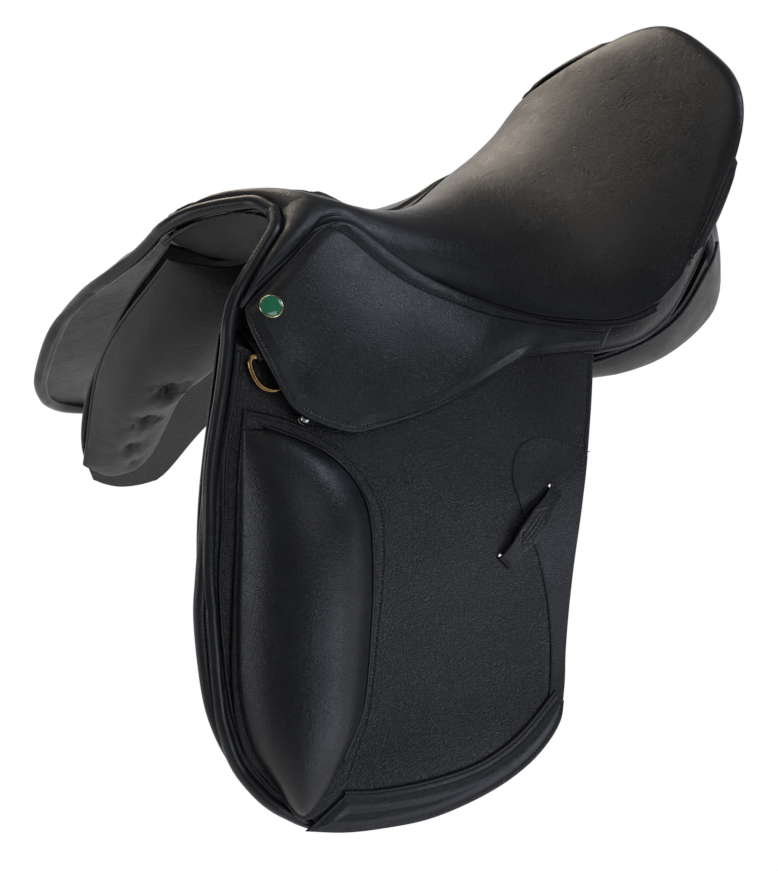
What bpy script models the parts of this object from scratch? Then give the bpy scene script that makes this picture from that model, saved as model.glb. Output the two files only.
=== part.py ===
"""Black leather dressage saddle, modelled piece by piece for Blender 4.5.

Run it with: blender --background --python part.py

World axes: -Y is the front (the pommel), +X is the saddle's left side, +Z is up.
The origin lies between the two panels, where the horse's back carries the saddle.
"""

import bpy
import bmesh
import math
import numpy as np
from mathutils import Vector

MM = 0.001

# Driving sizes, in millimetres
GAP = 0.35
LAYER = 1.0
FLAP_THICK = 4.0
SWEAT_THICK = 3.0
COVER_THICK = 3.0
TREE_THICK = 7.0
ROLL_RADIUS = 6.0
BLOCK_HEIGHT = 34.0
BORDER_THICK = 4.0
SKIRT_THICK = 4.0
STRAP_WIDTH = 25.0
STRAP_THICK = 3.5
RING_WIRE = 2.0
BAR_X = 84.0
BAR_Z = 15.0
BAR_FRONT = -182.0
BAR_REAR = -112.0

# Half width of the flap (outer) and of the sweat flap (inner) at each height
FLAP_CURVE = [(110, 38), (85, 62), (61, 81), (5, 120), (-50, 164), (-111, 200),
              (-164, 228), (-221, 262), (-264, 293), (-310, 320)]
SWEAT_CURVE = [(90, 45), (58, 63), (24, 80), (-16, 100), (-82, 125), (-145, 145),
               (-209, 160), (-262, 172), (-320, 184)]


def clear_scene():
    for thing in list(bpy.data.objects):
        bpy.data.objects.remove(thing, do_unlink=True)


def material(name, colour, roughness, metallic=0.0):
    """A Principled material; each piece gets its own copy."""
    found = bpy.data.materials.new(name)
    found.use_nodes = True
    shader = found.node_tree.nodes["Principled BSDF"]
    shader.inputs["Base Color"].default_value = (*colour, 1.0)
    shader.inputs["Roughness"].default_value = roughness
    shader.inputs["Metallic"].default_value = metallic
    found.diffuse_color = (*colour, 1.0)
    return found


BLACK = (0.012, 0.012, 0.014)
PEBBLED = (0.016, 0.016, 0.018)
LOOKS = {
    "smooth leather": (BLACK, 0.38, 0.0),
    "grained leather": (PEBBLED, 0.5, 0.0),
    "strap leather": (BLACK, 0.45, 0.0),
    "laminate": (0.32, 0.22, 0.12, 0.6, 0.0),
    "foam": (0.75, 0.72, 0.62, 0.9, 0.0),
    "webbing": (0.55, 0.53, 0.48, 0.85, 0.0),
    "steel": (0.42, 0.42, 0.43, 0.35, 1.0),
    "brass": (0.45, 0.3, 0.12, 0.3, 1.0),
    "nickel": (0.62, 0.62, 0.6, 0.2, 1.0),
    "green enamel": (0.0, 0.16, 0.06, 0.15, 0.0),
}


def look(kind, piece):
    values = LOOKS[kind]
    if len(values) == 3:
        colour, roughness, metallic = values
    else:
        colour, roughness, metallic = values[:3], values[3], values[4]
    return material(piece + " " + kind, colour, roughness, metallic)


def smooth_line(points, count, even=True):
    """A smooth curve through the points, read at evenly spaced places along it."""
    keys = np.array(points, float)
    if len(keys) == 2:
        t = np.linspace(0, 1, count)[:, None]
        return keys[0] * (1 - t) + keys[1] * t
    padded = np.vstack([2 * keys[0] - keys[1], keys, 2 * keys[-1] - keys[-2]])
    fine = []
    for k in range(len(keys) - 1):
        a, b, c, d = padded[k:k + 4]
        for step in range(24):
            w = step / 24
            fine.append(0.5 * (2 * b + (c - a) * w + (2 * a - 5 * b + 4 * c - d) * w * w
                               + (3 * b - a - 3 * c + d) * w ** 3))
    fine.append(keys[-1])
    fine = np.array(fine)
    if not even:
        return fine[np.linspace(0, len(fine) - 1, count).round().astype(int)]
    length = np.r_[0, np.cumsum(np.linalg.norm(np.diff(fine, axis=0), axis=1))]
    places = np.linspace(0, length[-1], count)
    return np.stack([np.interp(places, length, fine[:, k]) for k in range(keys.shape[1])], 1)


def patch(top, bottom, front, rear, across, down):
    """A leather panel's surface, stretched between its four edge curves (a Coons patch)."""
    t = smooth_line(top, across)
    b = smooth_line(bottom, across)
    f = smooth_line(front, down)
    r = smooth_line(rear, down)
    u = np.linspace(0, 1, across)[:, None, None]
    v = np.linspace(0, 1, down)[None, :, None]
    ruled = (1 - v) * t[:, None] + v * b[:, None] + (1 - u) * f[None] + u * r[None]
    corners = ((1 - u) * (1 - v) * t[0] + u * (1 - v) * t[-1]
               + (1 - u) * v * b[0] + u * v * b[-1])
    return ruled - corners


def normals(grid):
    along = np.gradient(grid, axis=0)
    down = np.gradient(grid, axis=1)
    n = np.cross(along, down)
    return n / np.maximum(np.linalg.norm(n, axis=2, keepdims=True), 1e-9)


def curve_x(curve, z):
    zs = np.array([k[0] for k in curve][::-1], float)
    xs = np.array([k[1] for k in curve][::-1], float)
    fine = smooth_line(np.stack([zs, xs], 1), 200)
    return np.interp(z, fine[:, 0], fine[:, 1])


def wrap(curve, side_view, lift):
    """Lays a side-view grid of (y, z) on the splayed side of the saddle, lifted outwards."""
    z = side_view[..., 1]
    x = curve_x(curve, z)
    slope = (curve_x(curve, z + 1) - curve_x(curve, z - 1)) / 2
    size = np.sqrt(1 + slope ** 2)
    return np.stack([x + lift / size, side_view[..., 0], z - lift * slope / size], -1)


def mesh_object(name, points, faces, kind, smooth=True, angle=40):
    mesh = bpy.data.meshes.new(name)
    mesh.from_pydata([tuple(p * MM) for p in points], [], faces)
    bm = bmesh.new()
    bm.from_mesh(mesh)
    bmesh.ops.recalc_face_normals(bm, faces=bm.faces)
    if bm.calc_volume(signed=True) < 0:
        bmesh.ops.reverse_faces(bm, faces=bm.faces)
    bm.to_mesh(mesh)
    bm.free()
    thing = bpy.data.objects.new(name, mesh)
    bpy.context.collection.objects.link(thing)
    mesh.materials.append(look(kind, name))
    if smooth:
        mesh.shade_smooth()
        mesh.set_sharp_from_angle(angle=math.radians(angle))
    return thing


def between(name, outer, inner, kind, angle=40):
    """A closed solid between two matching grids, with a rim all round."""
    nu, nv = outer.shape[:2]
    points = np.concatenate([outer.reshape(-1, 3), inner.reshape(-1, 3)])
    half = nu * nv

    def at(i, j, layer):
        return layer * half + i * nv + j

    faces = []
    for i in range(nu - 1):
        for j in range(nv - 1):
            faces.append((at(i, j, 0), at(i + 1, j, 0), at(i + 1, j + 1, 0), at(i, j + 1, 0)))
            faces.append((at(i, j, 1), at(i, j + 1, 1), at(i + 1, j + 1, 1), at(i + 1, j, 1)))
    for i in range(nu - 1):
        for j in (0, nv - 1):
            faces.append((at(i, j, 0), at(i, j, 1), at(i + 1, j, 1), at(i + 1, j, 0)))
    for j in range(nv - 1):
        for i in (0, nu - 1):
            faces.append((at(i, j, 0), at(i, j + 1, 0), at(i, j + 1, 1), at(i, j, 1)))
    return mesh_object(name, points, faces, kind, angle=angle)


def tube(name, points, radius, kind, closed=False, sides=2):
    """A round bar or roll along a smooth line."""
    data = bpy.data.curves.new(name, "CURVE")
    data.dimensions = "3D"
    data.bevel_depth = radius * MM
    data.bevel_resolution = sides
    data.use_fill_caps = not closed
    line = data.splines.new("POLY")
    line.points.add(len(points) - 1)
    for place, p in zip(line.points, points):
        place.co = (*(np.array(p) * MM), 1.0)
    line.use_cyclic_u = closed
    thing = bpy.data.objects.new(name, data)
    bpy.context.collection.objects.link(thing)
    data.materials.append(look(kind, name))
    return thing


def block(name, low, high, kind):
    """A squared bar between two corners, with its edges eased."""
    low = np.array(low, float)
    high = np.array(high, float)
    corners = [np.where([a, b, c], high, low) for a in (0, 1) for b in (0, 1) for c in (0, 1)]
    faces = [(0, 1, 3, 2), (4, 6, 7, 5), (0, 4, 5, 1), (2, 3, 7, 6), (0, 2, 6, 4), (1, 5, 7, 3)]
    return mesh_object(name, corners, faces, kind, smooth=False)


def extruded(name, outline, axis, low, high, kind, smooth=False):
    """An outline pushed along a world axis; the outline gives the other two coordinates."""
    order = {"x": (1, 2, 0), "y": (0, 2, 1), "z": (0, 1, 2)}[axis]
    points = []
    for along in (low, high):
        for a, b in outline:
            p = np.zeros(3)
            p[order[0]], p[order[1]], p[order[2]] = a, b, along
            points.append(p)
    m = len(outline)
    faces = [tuple(range(m))[::-1], tuple(range(m, 2 * m))]
    for k in range(m):
        faces.append((k, (k + 1) % m, m + (k + 1) % m, m + k))
    return mesh_object(name, points, faces, kind, smooth=smooth, angle=30)


def turned(name, centre, axis, profile, kind, sides=20):
    """A lathe-turned piece. The profile lists (radius, height) and starts and ends at radius 0."""
    axis = Vector(axis).normalized()
    side = axis.orthogonal().normalized()
    other = axis.cross(side)
    rings = []
    points = []
    for r, h in profile:
        middle = np.array(Vector(centre) + axis * h)
        if r == 0:
            rings.append([len(points)] * sides)
            points.append(middle)
            continue
        start = len(points)
        for k in range(sides):
            a = 2 * math.pi * k / sides
            points.append(middle + np.array(side * math.cos(a) + other * math.sin(a)) * r)
        rings.append(list(range(start, start + sides)))
    faces = []
    for low, high in zip(rings, rings[1:]):
        for k in range(sides):
            m = (k + 1) % sides
            corners = [low[k], low[m], high[m], high[k]]
            face = tuple(dict.fromkeys(corners))
            if len(face) > 2:
                faces.append(face)
    return mesh_object(name, points, faces, kind)


def cut(thing, cutter):
    """Cuts one solid out of another and throws the cutter away."""
    step = thing.modifiers.new("Cut", "BOOLEAN")
    step.operation = "DIFFERENCE"
    step.object = cutter
    cutter.hide_render = True
    cutter.display_type = "WIRE"


def other_side(left, name):
    """The same piece for the right side of the saddle."""
    depsgraph = bpy.context.evaluated_depsgraph_get()
    mesh = bpy.data.meshes.new_from_object(left.evaluated_get(depsgraph))
    mesh.name = name
    bm = bmesh.new()
    bm.from_mesh(mesh)
    for vert in bm.verts:
        vert.co = left.matrix_world @ vert.co
        vert.co.x = -vert.co.x
    bmesh.ops.reverse_faces(bm, faces=bm.faces)
    bm.to_mesh(mesh)
    bm.free()
    thing = bpy.data.objects.new(name, mesh)
    bpy.context.collection.objects.link(thing)
    mesh.materials.clear()
    source = left.data.materials[0].name.split(" ", 1)[1].split(".")[0]
    mesh.materials.append(look(source, name))
    return thing


# Rows that run from one side of the seat to the other. Each row gives its middle (y, z),
# its left end (x, y, z), and how full the curve between them is in height and in plan.
SEAT_ROWS = [
    (-182.3, 113.3, 69.6, -233.8, 92.4, 3.0, 1.8),
    (-172, 115, 65.5, -226, 92.2, 3.0, 1.8),
    (-161, 113, 60, -216, 89, 2.6, 1.7),
    (-151, 109, 44, -187, 96, 2.4, 1.6),
    (-142, 104, 28, -162, 101, 2.2, 1.5),
    (-130, 97, 18, -133, 92, 2.0, 1.5),
    (-112, 86, 25, -115, 78, 2.0, 1.5),
    (-90, 75, 39, -93, 55, 2.0, 1.5),
    (-62, 63, 57, -62, 32, 2.2, 1.5),
    (-30, 53, 83, -30, 20, 2.2, 1.5),
    (0, 47, 106, 0, 14, 2.4, 1.5),
    (32, 46, 127, 31, 14, 2.6, 2.0),
    (64, 52, 143, 61, 16, 2.8, 3.0),
    (96, 67, 151, 86, 27, 3.0, 3.2),
    (126, 88, 153, 102, 43, 3.1, 3.4),
    (155, 113, 153, 110, 52, 3.2, 3.5),
    (182, 140, 152, 114, 56, 3.2, 3.6),
    (202, 157.5, 151, 117, 59, 3.2, 3.6),
    (212, 164.5, 151, 119, 61, 3.2, 3.6),
    (221, 160, 151, 121, 62, 3.4, 3.4),
    (226, 143, 150, 123, 63, 3.8, 3.0),
]
TREE_ROWS = [
    (-180, 94, 62, -214, 52, 2.6, 1.6),
    (-160, 91, 63, -190, 48, 2.6, 1.6),
    (-135, 80, 64, -150, 42, 2.4, 1.5),
    (-108, 66, 65, -118, 31, 2.2, 1.5),
    (-80, 50, 67, -87, 15, 2.2, 1.5),
    (-50, 39, 79, -50, 1, 2.2, 1.5),
    (-20, 31, 94, -20, -8, 2.2, 1.5),
    (10, 26, 105, 10, -10, 2.3, 1.5),
    (50, 27, 117, 48, -8, 2.5, 2.5),
    (90, 41, 126, 80, 5, 2.7, 3.0),
    (125, 62, 130, 100, 22, 2.9, 3.2),
    (155, 88, 130, 110, 34, 3.0, 3.4),
    (183, 116, 128, 117, 42, 3.0, 3.4),
    (198, 134, 126, 120, 46, 3.0, 3.4),
]


def row_surface(rows, across, along, reach=1.0):
    """A surface from side to side through the rows."""
    table = smooth_line(np.array(rows, float) * [1, 1, 1, 1, 1, 20, 20], along)
    u = np.linspace(-reach, reach, across)
    side = np.abs(u)
    grid = np.zeros((across, along, 3))
    for j, (cy, cz, ex, ey, ez, p, q) in enumerate(table):
        grid[:, j, 0] = ex * u
        grid[:, j, 1] = cy + (ey - cy) * side ** (q / 20)
        grid[:, j, 2] = cz + (ez - cz) * side ** (p / 20)
    return grid


def stand_off(grid, line, reach):
    """Moves the points of a surface that come too near a line out to the given distance."""
    moved = grid.copy()
    for spot in np.ndindex(grid.shape[:2]):
        away = grid[spot] - line
        size = np.linalg.norm(away, axis=1)
        k = size.argmin()
        if size[k] < reach:
            moved[spot] = line[k] + away[k] / size[k] * reach
    return moved


def upward(grid):
    n = normals(grid)
    return n if n[grid.shape[0] // 2, grid.shape[1] // 3, 2] > 0 else -n


# Seat: cover, foam, tree

def make_seat():
    top = row_surface(SEAT_ROWS, 17, 22)
    top = stand_off(top, arch_line(60), ROLL_RADIUS + COVER_THICK + 2.6)
    up = upward(top)
    under = stand_off(top - up * COVER_THICK, arch_line(60), ROLL_RADIUS + 1.8)
    between("seat_cover", top, under, "smooth leather", angle=60)

    crown = (top - up * (COVER_THICK + 1.4))[1:16:2, 4:19]
    up = up[1:16:2, 4:19]
    u = np.linspace(-1, 1, 8)[:, None]
    v = np.linspace(0, 1, 15)[None, :]
    swell = np.sin(math.pi * np.clip(v * 0.9 + 0.08, 0, 1)) ** 0.7
    deep = (2 + (1 - u ** 4) * (4.5 + 6 * v) * swell)[:, :, None]
    between("seat_foam", crown, crown - up * deep, "foam")


def make_tree():
    top = row_surface(TREE_ROWS, 13, 14)
    under = top - upward(top) * TREE_THICK
    tree = between("tree", top, under, "laminate")
    slot = block("tree_slot", (-22, -90, -60), (22, 90, 120), "steel")
    cut(tree, slot)

    strip = row_surface(TREE_ROWS, 5, 14, reach=0.32)
    up = upward(strip)
    between("seat_webbing", strip + up * 2.1, strip + up * 0.6, "webbing")

    head = under[:, :4] - upward(top)[:, :4] * (GAP + 0.25)
    between("gullet_plate", head, head - upward(top)[:, :4] * 3, "steel")

    lining = row_surface([
        (-191, 102, 73, -257, 60, 3.0, 1.8),
        (-188, 87, 67, -250, 51, 2.8, 1.8),
        (-176, 74, 55, -230, 41, 2.6, 1.7),
        (-150, 62, 42, -200, 34, 2.4, 1.6),
    ], 13, 5)
    between("gullet_lining", lining, lining - upward(lining) * 2, "smooth leather")


ARCH = [(0, -190, 110), (27, -199, 108), (52, -222, 97), (71, -248, 76), (81, -264, 61)]
ROLL = [(82, -265.5, 59), (101, -281, 33), (121, -294, 4), (146, -311, -28), (167, -324, -55),
        (188, -335, -83), (204, -345, -115), (229, -351, -164), (246, -350, -193),
        (264, -341, -221), (284, -325, -246), (304, -306, -265)]


def arch_line(count=10):
    """The roll's middle line over the pommel, from one side to the other."""
    half = smooth_line(ARCH, count)
    return np.vstack([half[::-1] * [-1, 1, 1], half[1:]])


def make_pommel():
    tube("pommel_roll", arch_line(), ROLL_RADIUS, "smooth leather")


# Panels: a soft cushion on each side of the gullet
# Each station gives three points down the side that meets the saddle, the way and depth of the
# stuffing there, and how much of that depth is left at the station's lower end

PANEL = [
    (59, -265, 44, 120, -316, -82, 162, -331, -232, -10, -2, -5, 0.9),
    (53, -244, 38, 118, -297, -88, 167, -306, -256, -28, -5, -11, 0.9),
    (44, -214, 32, 109, -254, -92, 162, -268, -244, -33, -4, -13, 0.5),
    (39, -178, 34, 92, -208, -52, 132, -238, -148, -34, 0, -16, 0.4),
    (36, -140, 37, 80, -160, -20, 112, -182, -84, -33, 0, -22, 0.7),
    (34, -95, 32, 76, -100, -6, 106, -106, -54, -31, 0, -32, 1.0),
    (33, -40, 13.5, 74, -40, -10.5, 104, -42, -42, -24, 0, -44, 1.0),
    (33, 45, 12, 86, 45, -4, 134, 46, -24, -10, 0, -50, 1.0),
    (36, 118, 42, 92, 118, 22, 140, 112, 0, -12, 4, -72, 1.0),
    (42, 168, 80, 86, 168, 66, 127, 156, 42, -12, 14, -90, 1.0),
    (54, 188, 70, 84, 187, 58, 106, 178, 44, -4, 12, -56, 1.0),
]
TUFTS = [(-260, -103), (-277, -156), (-290, -202), (-285, -236)]


def panel_sides(along, down):
    """The panel's side towards the saddle, and its side towards the horse."""
    table = smooth_line(PANEL, along)
    v = np.linspace(-1, 1, down)
    base = np.zeros((along, down, 3))
    face = np.zeros((along, down, 3))
    for i, row in enumerate(table):
        base[i] = smooth_line([row[0:3], row[3:6], row[6:9]], down)
        rear = np.clip((i / (along - 1) - 0.5) / 0.25, 0, 1)
        side = 0.2 + 0.55 * rear
        share = side + (1 - side) * (1 - np.abs(v) ** (2.6 + 2.4 * rear))
        fade = np.clip(v / 0.6, 0, 1)
        share = share * (1 - (1 - row[12]) * fade * fade * (3 - 2 * fade))
        for y, z in TUFTS:
            away = np.hypot(base[i, :, 1] - y, base[i, :, 2] - z)
            share = share * (1 - 0.5 * np.exp(-(away / 11.0) ** 2))
        face[i] = base[i] + share[:, None] * row[9:12]
    return base, face


def make_panel():
    base, face = panel_sides(28, 15)
    between("panel_left", base, face, "smooth leather", angle=70)


# Sweat flap and flap

def side_patch(top, bottom, front, rear, across, down):
    def flat(points):
        return [(y, z) for y, z in points]
    return patch(flat(top), flat(bottom), flat(front), flat(rear), across, down)


SWEAT_FRONT = [(-262, 56), (-275, 22), (-290, -16), (-312, -82), (-328, -145), (-333, -209), (-323, -262)]
FLAP_REAR = [(45, -8), (39, -18), (13, -78), (-5, -127), (-30, -183), (-44, -218), (-60, -246)]
FLAP_BOTTOM_END = [(-271, -280), (-237, -288), (-200, -291), (-162, -290), (-130, -285), (-103, -278),
                   (-82, -269), (-68, -259), (-60, -246)]
FLAP_TOP_END = [(-240, 36), (-215, 18), (-180, 8), (-100, 0), (-20, -3), (45, -8)]

# The block's border and its pad: top, bottom, front and rear edges, as (y, z) in side view
BORDER_EDGES = [
    [(-256, 8), (-238, -3), (-216, -16)],
    [(-318, -241), (-309, -251), (-296, -262), (-277, -262), (-252, -250)],
    [(-256, 8), (-271, -14), (-287, -40), (-303, -74), (-317, -110), (-328, -148), (-335, -180),
     (-336, -206), (-330, -226), (-318, -241)],
    [(-216, -16), (-195, -34), (-182, -52), (-175, -75), (-177, -95), (-187, -128), (-198, -158),
     (-209, -186), (-225, -219), (-252, -250)],
]
PAD_EDGES = [
    [(-264, -4), (-247, -9), (-222, -24)],
    [(-314, -241), (-303, -252), (-290, -255), (-274, -250), (-253, -235)],
    [(-264, -4), (-278, -24), (-291, -50), (-304, -85), (-316, -122), (-325, -160), (-328, -190),
     (-325, -216), (-314, -241)],
    [(-222, -24), (-202, -42), (-192, -62), (-191, -83), (-196, -110), (-204, -140), (-217, -179),
     (-232, -212), (-253, -235)],
]


def beside_roll(inset):
    """A side-view line that follows the flap's front roll at a distance behind it."""
    line = smooth_line([(y, z) for x, y, z in ROLL], 40)
    run = np.gradient(line, axis=0)
    run /= np.linalg.norm(run, axis=1, keepdims=True)
    return line + np.stack([-run[:, 1], run[:, 0]], 1) * inset


def flap_sheet(across=13, down=13):
    front = beside_roll(ROLL_RADIUS + GAP + 0.4)
    top = [tuple(front[0])] + FLAP_TOP_END
    bottom = [tuple(front[-1])] + FLAP_BOTTOM_END
    return patch(top, bottom, front, FLAP_REAR, across, down)


def make_flap():
    side = flap_sheet()
    between("flap_left", wrap(FLAP_CURVE, side, FLAP_THICK), wrap(FLAP_CURVE, side, 0), "grained leather")

    sweat_top = [(-262, 56), (-235, 34), (-200, 8), (-100, 0), (-50, -14), (-24, -20)]
    sweat_bottom = [(-323, -262), (-290, -288), (-220, -300), (-140, -285), (-88, -235)]
    sweat_rear = [(-24, -20), (-28, -60), (-42, -120), (-66, -185), (-88, -235)]
    sheet = patch(sweat_top, sweat_bottom, SWEAT_FRONT, sweat_rear, 9, 11)
    between("sweat_flap_left", wrap(SWEAT_CURVE, sheet, SWEAT_THICK), wrap(SWEAT_CURVE, sheet, 0),
            "grained leather")

    roll = smooth_line(ROLL, 22)
    tube("flap_roll_left", roll, ROLL_RADIUS, "smooth leather")

    # Thigh block with its sewn border
    low = FLAP_THICK + LAYER
    edge = patch(*BORDER_EDGES, 7, 12)
    between("block_border_left", wrap(FLAP_CURVE, edge, low + BORDER_THICK), wrap(FLAP_CURVE, edge, low),
            "smooth leather")
    pad = patch(*PAD_EDGES, 9, 15)
    u = np.linspace(-1, 1, 9)[:, None]
    v = np.linspace(-1, 1, 15)[None, :]
    rise = 3 + BLOCK_HEIGHT * (1 - np.abs(u) ** 2.4) * (1 - np.abs(v) ** 4) ** 0.8
    base = low + BORDER_THICK + LAYER
    between("thigh_block_left", wrap(FLAP_CURVE, pad, base + rise), wrap(FLAP_CURVE, pad, base),
            "smooth leather", angle=70)

    # Facing along the bottom edge
    face_top = [(-260, -259), (-235, -265), (-200, -270), (-160, -272), (-130, -269), (-100, -260), (-63, -242)]
    face_bottom = [(-288, -274)] + FLAP_BOTTOM_END[:-1] + [(-60.5, -247)]
    face = patch(face_top, face_bottom, [face_top[0], face_bottom[0]], [face_top[-1], face_bottom[-1]], 13, 3)
    between("flap_facing_left", wrap(FLAP_CURVE, face, low + 2), wrap(FLAP_CURVE, face, low),
            "smooth leather")

    # Strap keeper, held by two slots in the flap
    k_top = np.array([-26.0, -100.0])
    k_bottom = np.array([-82.0, -139.0])
    along = (k_bottom - k_top) / np.linalg.norm(k_bottom - k_top)
    wide = np.array([-along[1], along[0]])
    strip = []
    for s in np.linspace(-2, np.linalg.norm(k_bottom - k_top) + 2, 11):
        strip.append([k_top + along * s - wide * 6.5, k_top + along * s + wide * 6.5])
    strip = np.array(strip).transpose(1, 0, 2)
    bow = low + 5.0 * np.sin(np.linspace(0, math.pi, 11))[None, :]
    between("keeper_left", wrap(FLAP_CURVE, strip, bow + 2.2), wrap(FLAP_CURVE, strip, bow),
            "smooth leather")


# Skirt, over the stirrup bar

def make_skirt():
    top = [(23, -148, 96.5), (22.5, -131, 90), (28.9, -116.2, 76.2), (38.8, -99.2, 59.7), (50, -79, 41), (66, -53, 24),
           (88, -29, 16), (108, -1, 10), (128, 28, 9), (143, 55, 9)]
    front = [(23, -148, 96.5), (31, -164, 98), (42, -182, 95), (55, -202, 89), (66, -224, 83), (78, -245, 77)]
    bottom = [(78, -245, 77), (96, -245, 67), (125, -237, 35), (143, -225, 10), (156, -194, -10),
              (158, -168, -13), (156, -122, -13), (151, -82, -6), (145, -45, 4), (144, -12, 2), (149, 40, -5)]
    rear = [(143, 55, 9), (148, 40, -6)]
    grid = patch(top, bottom, front, rear, 14, 8)
    n = normals(grid)
    if n[7, 4, 0] < 0:
        n = -n
    u = np.linspace(0, 1, 14)[:, None]
    v = np.linspace(0, 1, 8)[None, :]
    puff = 6 * np.sin(np.pi * v ** 1.1) * np.sin(np.pi * np.minimum(u * 1.3, 1)) ** 0.8
    grid = grid + n * puff[:, :, None]
    n = normals(grid)
    if n[7, 4, 0] < 0:
        n = -n
    between("skirt_left", grid + n * SKIRT_THICK, grid, "smooth leather")
    return grid + n * SKIRT_THICK, n


# Cantle facing, which closes the back between the seat and the panels

def make_facing():
    top = [(143, 60, 9), (150.5, 82, 18), (152.5, 100, 34), (149.5, 121.5, 56), (139, 141.5, 76), (119, 171, 104),
           (89, 202, 127), (50, 220, 137.5), (0, 223.5, 138.5)]
    low = [(141, 46, -13), (144, 78, -11), (143, 108, 3), (138, 132, 30), (122, 158, 52), (98, 181, 66),
           (66, 197, 74), (34, 203, 76), (0, 205, 76)]
    half_top = smooth_line(top, 14)
    half_low = smooth_line(low, 14)
    mirror = np.array([-1, 1, 1])
    line_top = np.vstack([half_top, half_top[-2::-1] * mirror])
    line_low = np.vstack([half_low, half_low[-2::-1] * mirror])
    v = np.linspace(0, 1, 4)[None, :, None]
    grid = line_top[:, None] * (1 - v) + line_low[:, None] * v
    n = normals(grid)
    if n[13, 1, 1] < 0:
        n = -n
    grid = grid + n * 2.5 * np.sin(np.pi * v)
    between("cantle_facing", grid, grid - n * 2.5, "smooth leather", angle=60)


# Stirrup bar and its hinged catch

def make_bar():
    low = BAR_Z - 4
    high = BAR_Z + 4
    inner = BAR_X - 4
    outer = BAR_X + 4
    bar = extruded("stirrup_bar_left", [
        (66.9, BAR_FRONT), (outer - 3, BAR_FRONT), (outer, BAR_FRONT + 3), (outer, BAR_REAR + 8),
        (inner, BAR_REAR + 8), (inner, BAR_FRONT + 11), (inner - 3, BAR_FRONT + 8), (72, BAR_FRONT + 8),
        (70.2, BAR_FRONT + 10), (70.2, BAR_REAR), (66.9, BAR_REAR)], "z", low, high, "steel")
    plate = extruded("bar_plate_join", [(BAR_FRONT, low + 0.5), (BAR_REAR, low + 0.5), (BAR_REAR, 34),
                                        (BAR_REAR - 14, 38), (BAR_FRONT + 10, 46), (BAR_FRONT, 44)],
                     "x", 66.9, 70.0, "steel")
    join = bar.modifiers.new("Join", "BOOLEAN")
    join.operation = "UNION"
    join.object = plate
    plate.hide_render = True
    plate.display_type = "WIRE"
    fork = block("bar_fork_cut", (BAR_X - 2.5, BAR_REAR - 2, low - 2), (BAR_X + 2.5, BAR_REAR + 12, high + 2), "steel")
    cut(bar, fork)
    lever = []
    for k in range(9):
        a = math.radians(90 + 180 * k / 8)
        lever.append((BAR_REAR + 3 + 3.6 * math.cos(a), BAR_Z + 3.6 * math.sin(a)))
    lever += [(BAR_REAR + 13, BAR_Z - 2.6), (BAR_REAR + 16, BAR_Z - 0.5), (BAR_REAR + 16, BAR_Z + 2),
              (BAR_REAR + 12, BAR_Z + 3)]
    extruded("bar_catch_left", lever, "x", BAR_X - 2.1, BAR_X + 2.1, "steel")


# Ring with its chape, badge, stud

RING_TOP = np.array((103.5, -239.0, 45.5))
RING_LEAN = np.array((0.57, 0.0, -0.8216))


def make_fittings(skirt, skirt_out):
    half = 14.5
    fore = np.array((0.0, 1.0, 0.0))
    line = [RING_TOP + fore * k for k in (-half + 2, 0, half - 2)]
    for k in range(15):
        a = math.pi * k / 14
        line.append(RING_TOP + fore * half * math.cos(a) + RING_LEAN * (3 + 26 * math.sin(a) ** 0.75))
    ring = tube("d_ring_left", line, RING_WIRE, "brass", closed=True)
    chape = []
    for k in range(13):
        a = math.radians(90 - 270 * k / 12)
        chape.append((RING_TOP[0] + 4.4 * math.cos(a), RING_TOP[2] + 4.4 * math.sin(a)))
    chape[-1] = (RING_TOP[0] - 4.4, RING_TOP[2] + 0.2)
    chape += [(76, RING_TOP[2] - 0.4), (76, RING_TOP[2] + 4.4)]
    loop = extruded("d_ring_chape_left", chape, "y", RING_TOP[1] - 8, RING_TOP[1] + 8, "strap leather")
    eye = [(RING_TOP[0] + 2.5 * math.cos(a), RING_TOP[2] + 2.5 * math.sin(a))
           for a in np.linspace(0, 2 * math.pi, 12, endpoint=False)]
    hole = extruded("chape_eye_cut", eye, "y", RING_TOP[1] - 12, RING_TOP[1] + 12, "brass")
    cut(loop, hole)

    # The badge sits square on the skirt's front corner
    place = np.array((84.0, -225.0, 74.0))
    flat = skirt.reshape(-1, 3)
    out = skirt_out.reshape(-1, 3)
    away = np.linalg.norm(flat - place, axis=1)
    near = np.argsort(away)[:4]
    axis = out[near].mean(0)
    axis /= np.linalg.norm(axis)
    centre = place + axis * (((flat[near] - place) @ axis).max() + 1.0)
    turned("badge_rim_left", centre, axis, [(0, 0), (9.6, 0), (9.6, 2.2), (9.0, 2.9), (8.3, 2.9), (8.1, 1.2), (0, 1.2)],
           "brass", 20)
    turned("badge_disc_left", centre, axis, [(0, 1.5), (7.7, 1.5), (7.7, 2.3), (6.4, 2.8), (3.4, 3.1), (0, 3.2)],
           "green enamel", 20)

    stud = wrap(FLAP_CURVE, np.array([[(-222.0, -7.5)]]), FLAP_THICK + 0.7)[0, 0]
    head = wrap(FLAP_CURVE, np.array([[(-222.0, -7.5)]]), FLAP_THICK + 20)[0, 0]
    ball = [(0, 0), (3.6, 0), (3.6, 1.0), (2.0, 1.4), (2.0, 3.0)]
    for k in range(1, 7):
        a = math.radians(-60 + 150 * k / 6)
        ball.append((4.2 * math.cos(a), 6.6 + 4.2 * math.sin(a)))
    ball[-1] = (0, 10.8)
    turned("flap_stud_left", stud, head - stud, ball, "nickel", 12)


# Girth straps, which hang between flap and sweat flap

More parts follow.
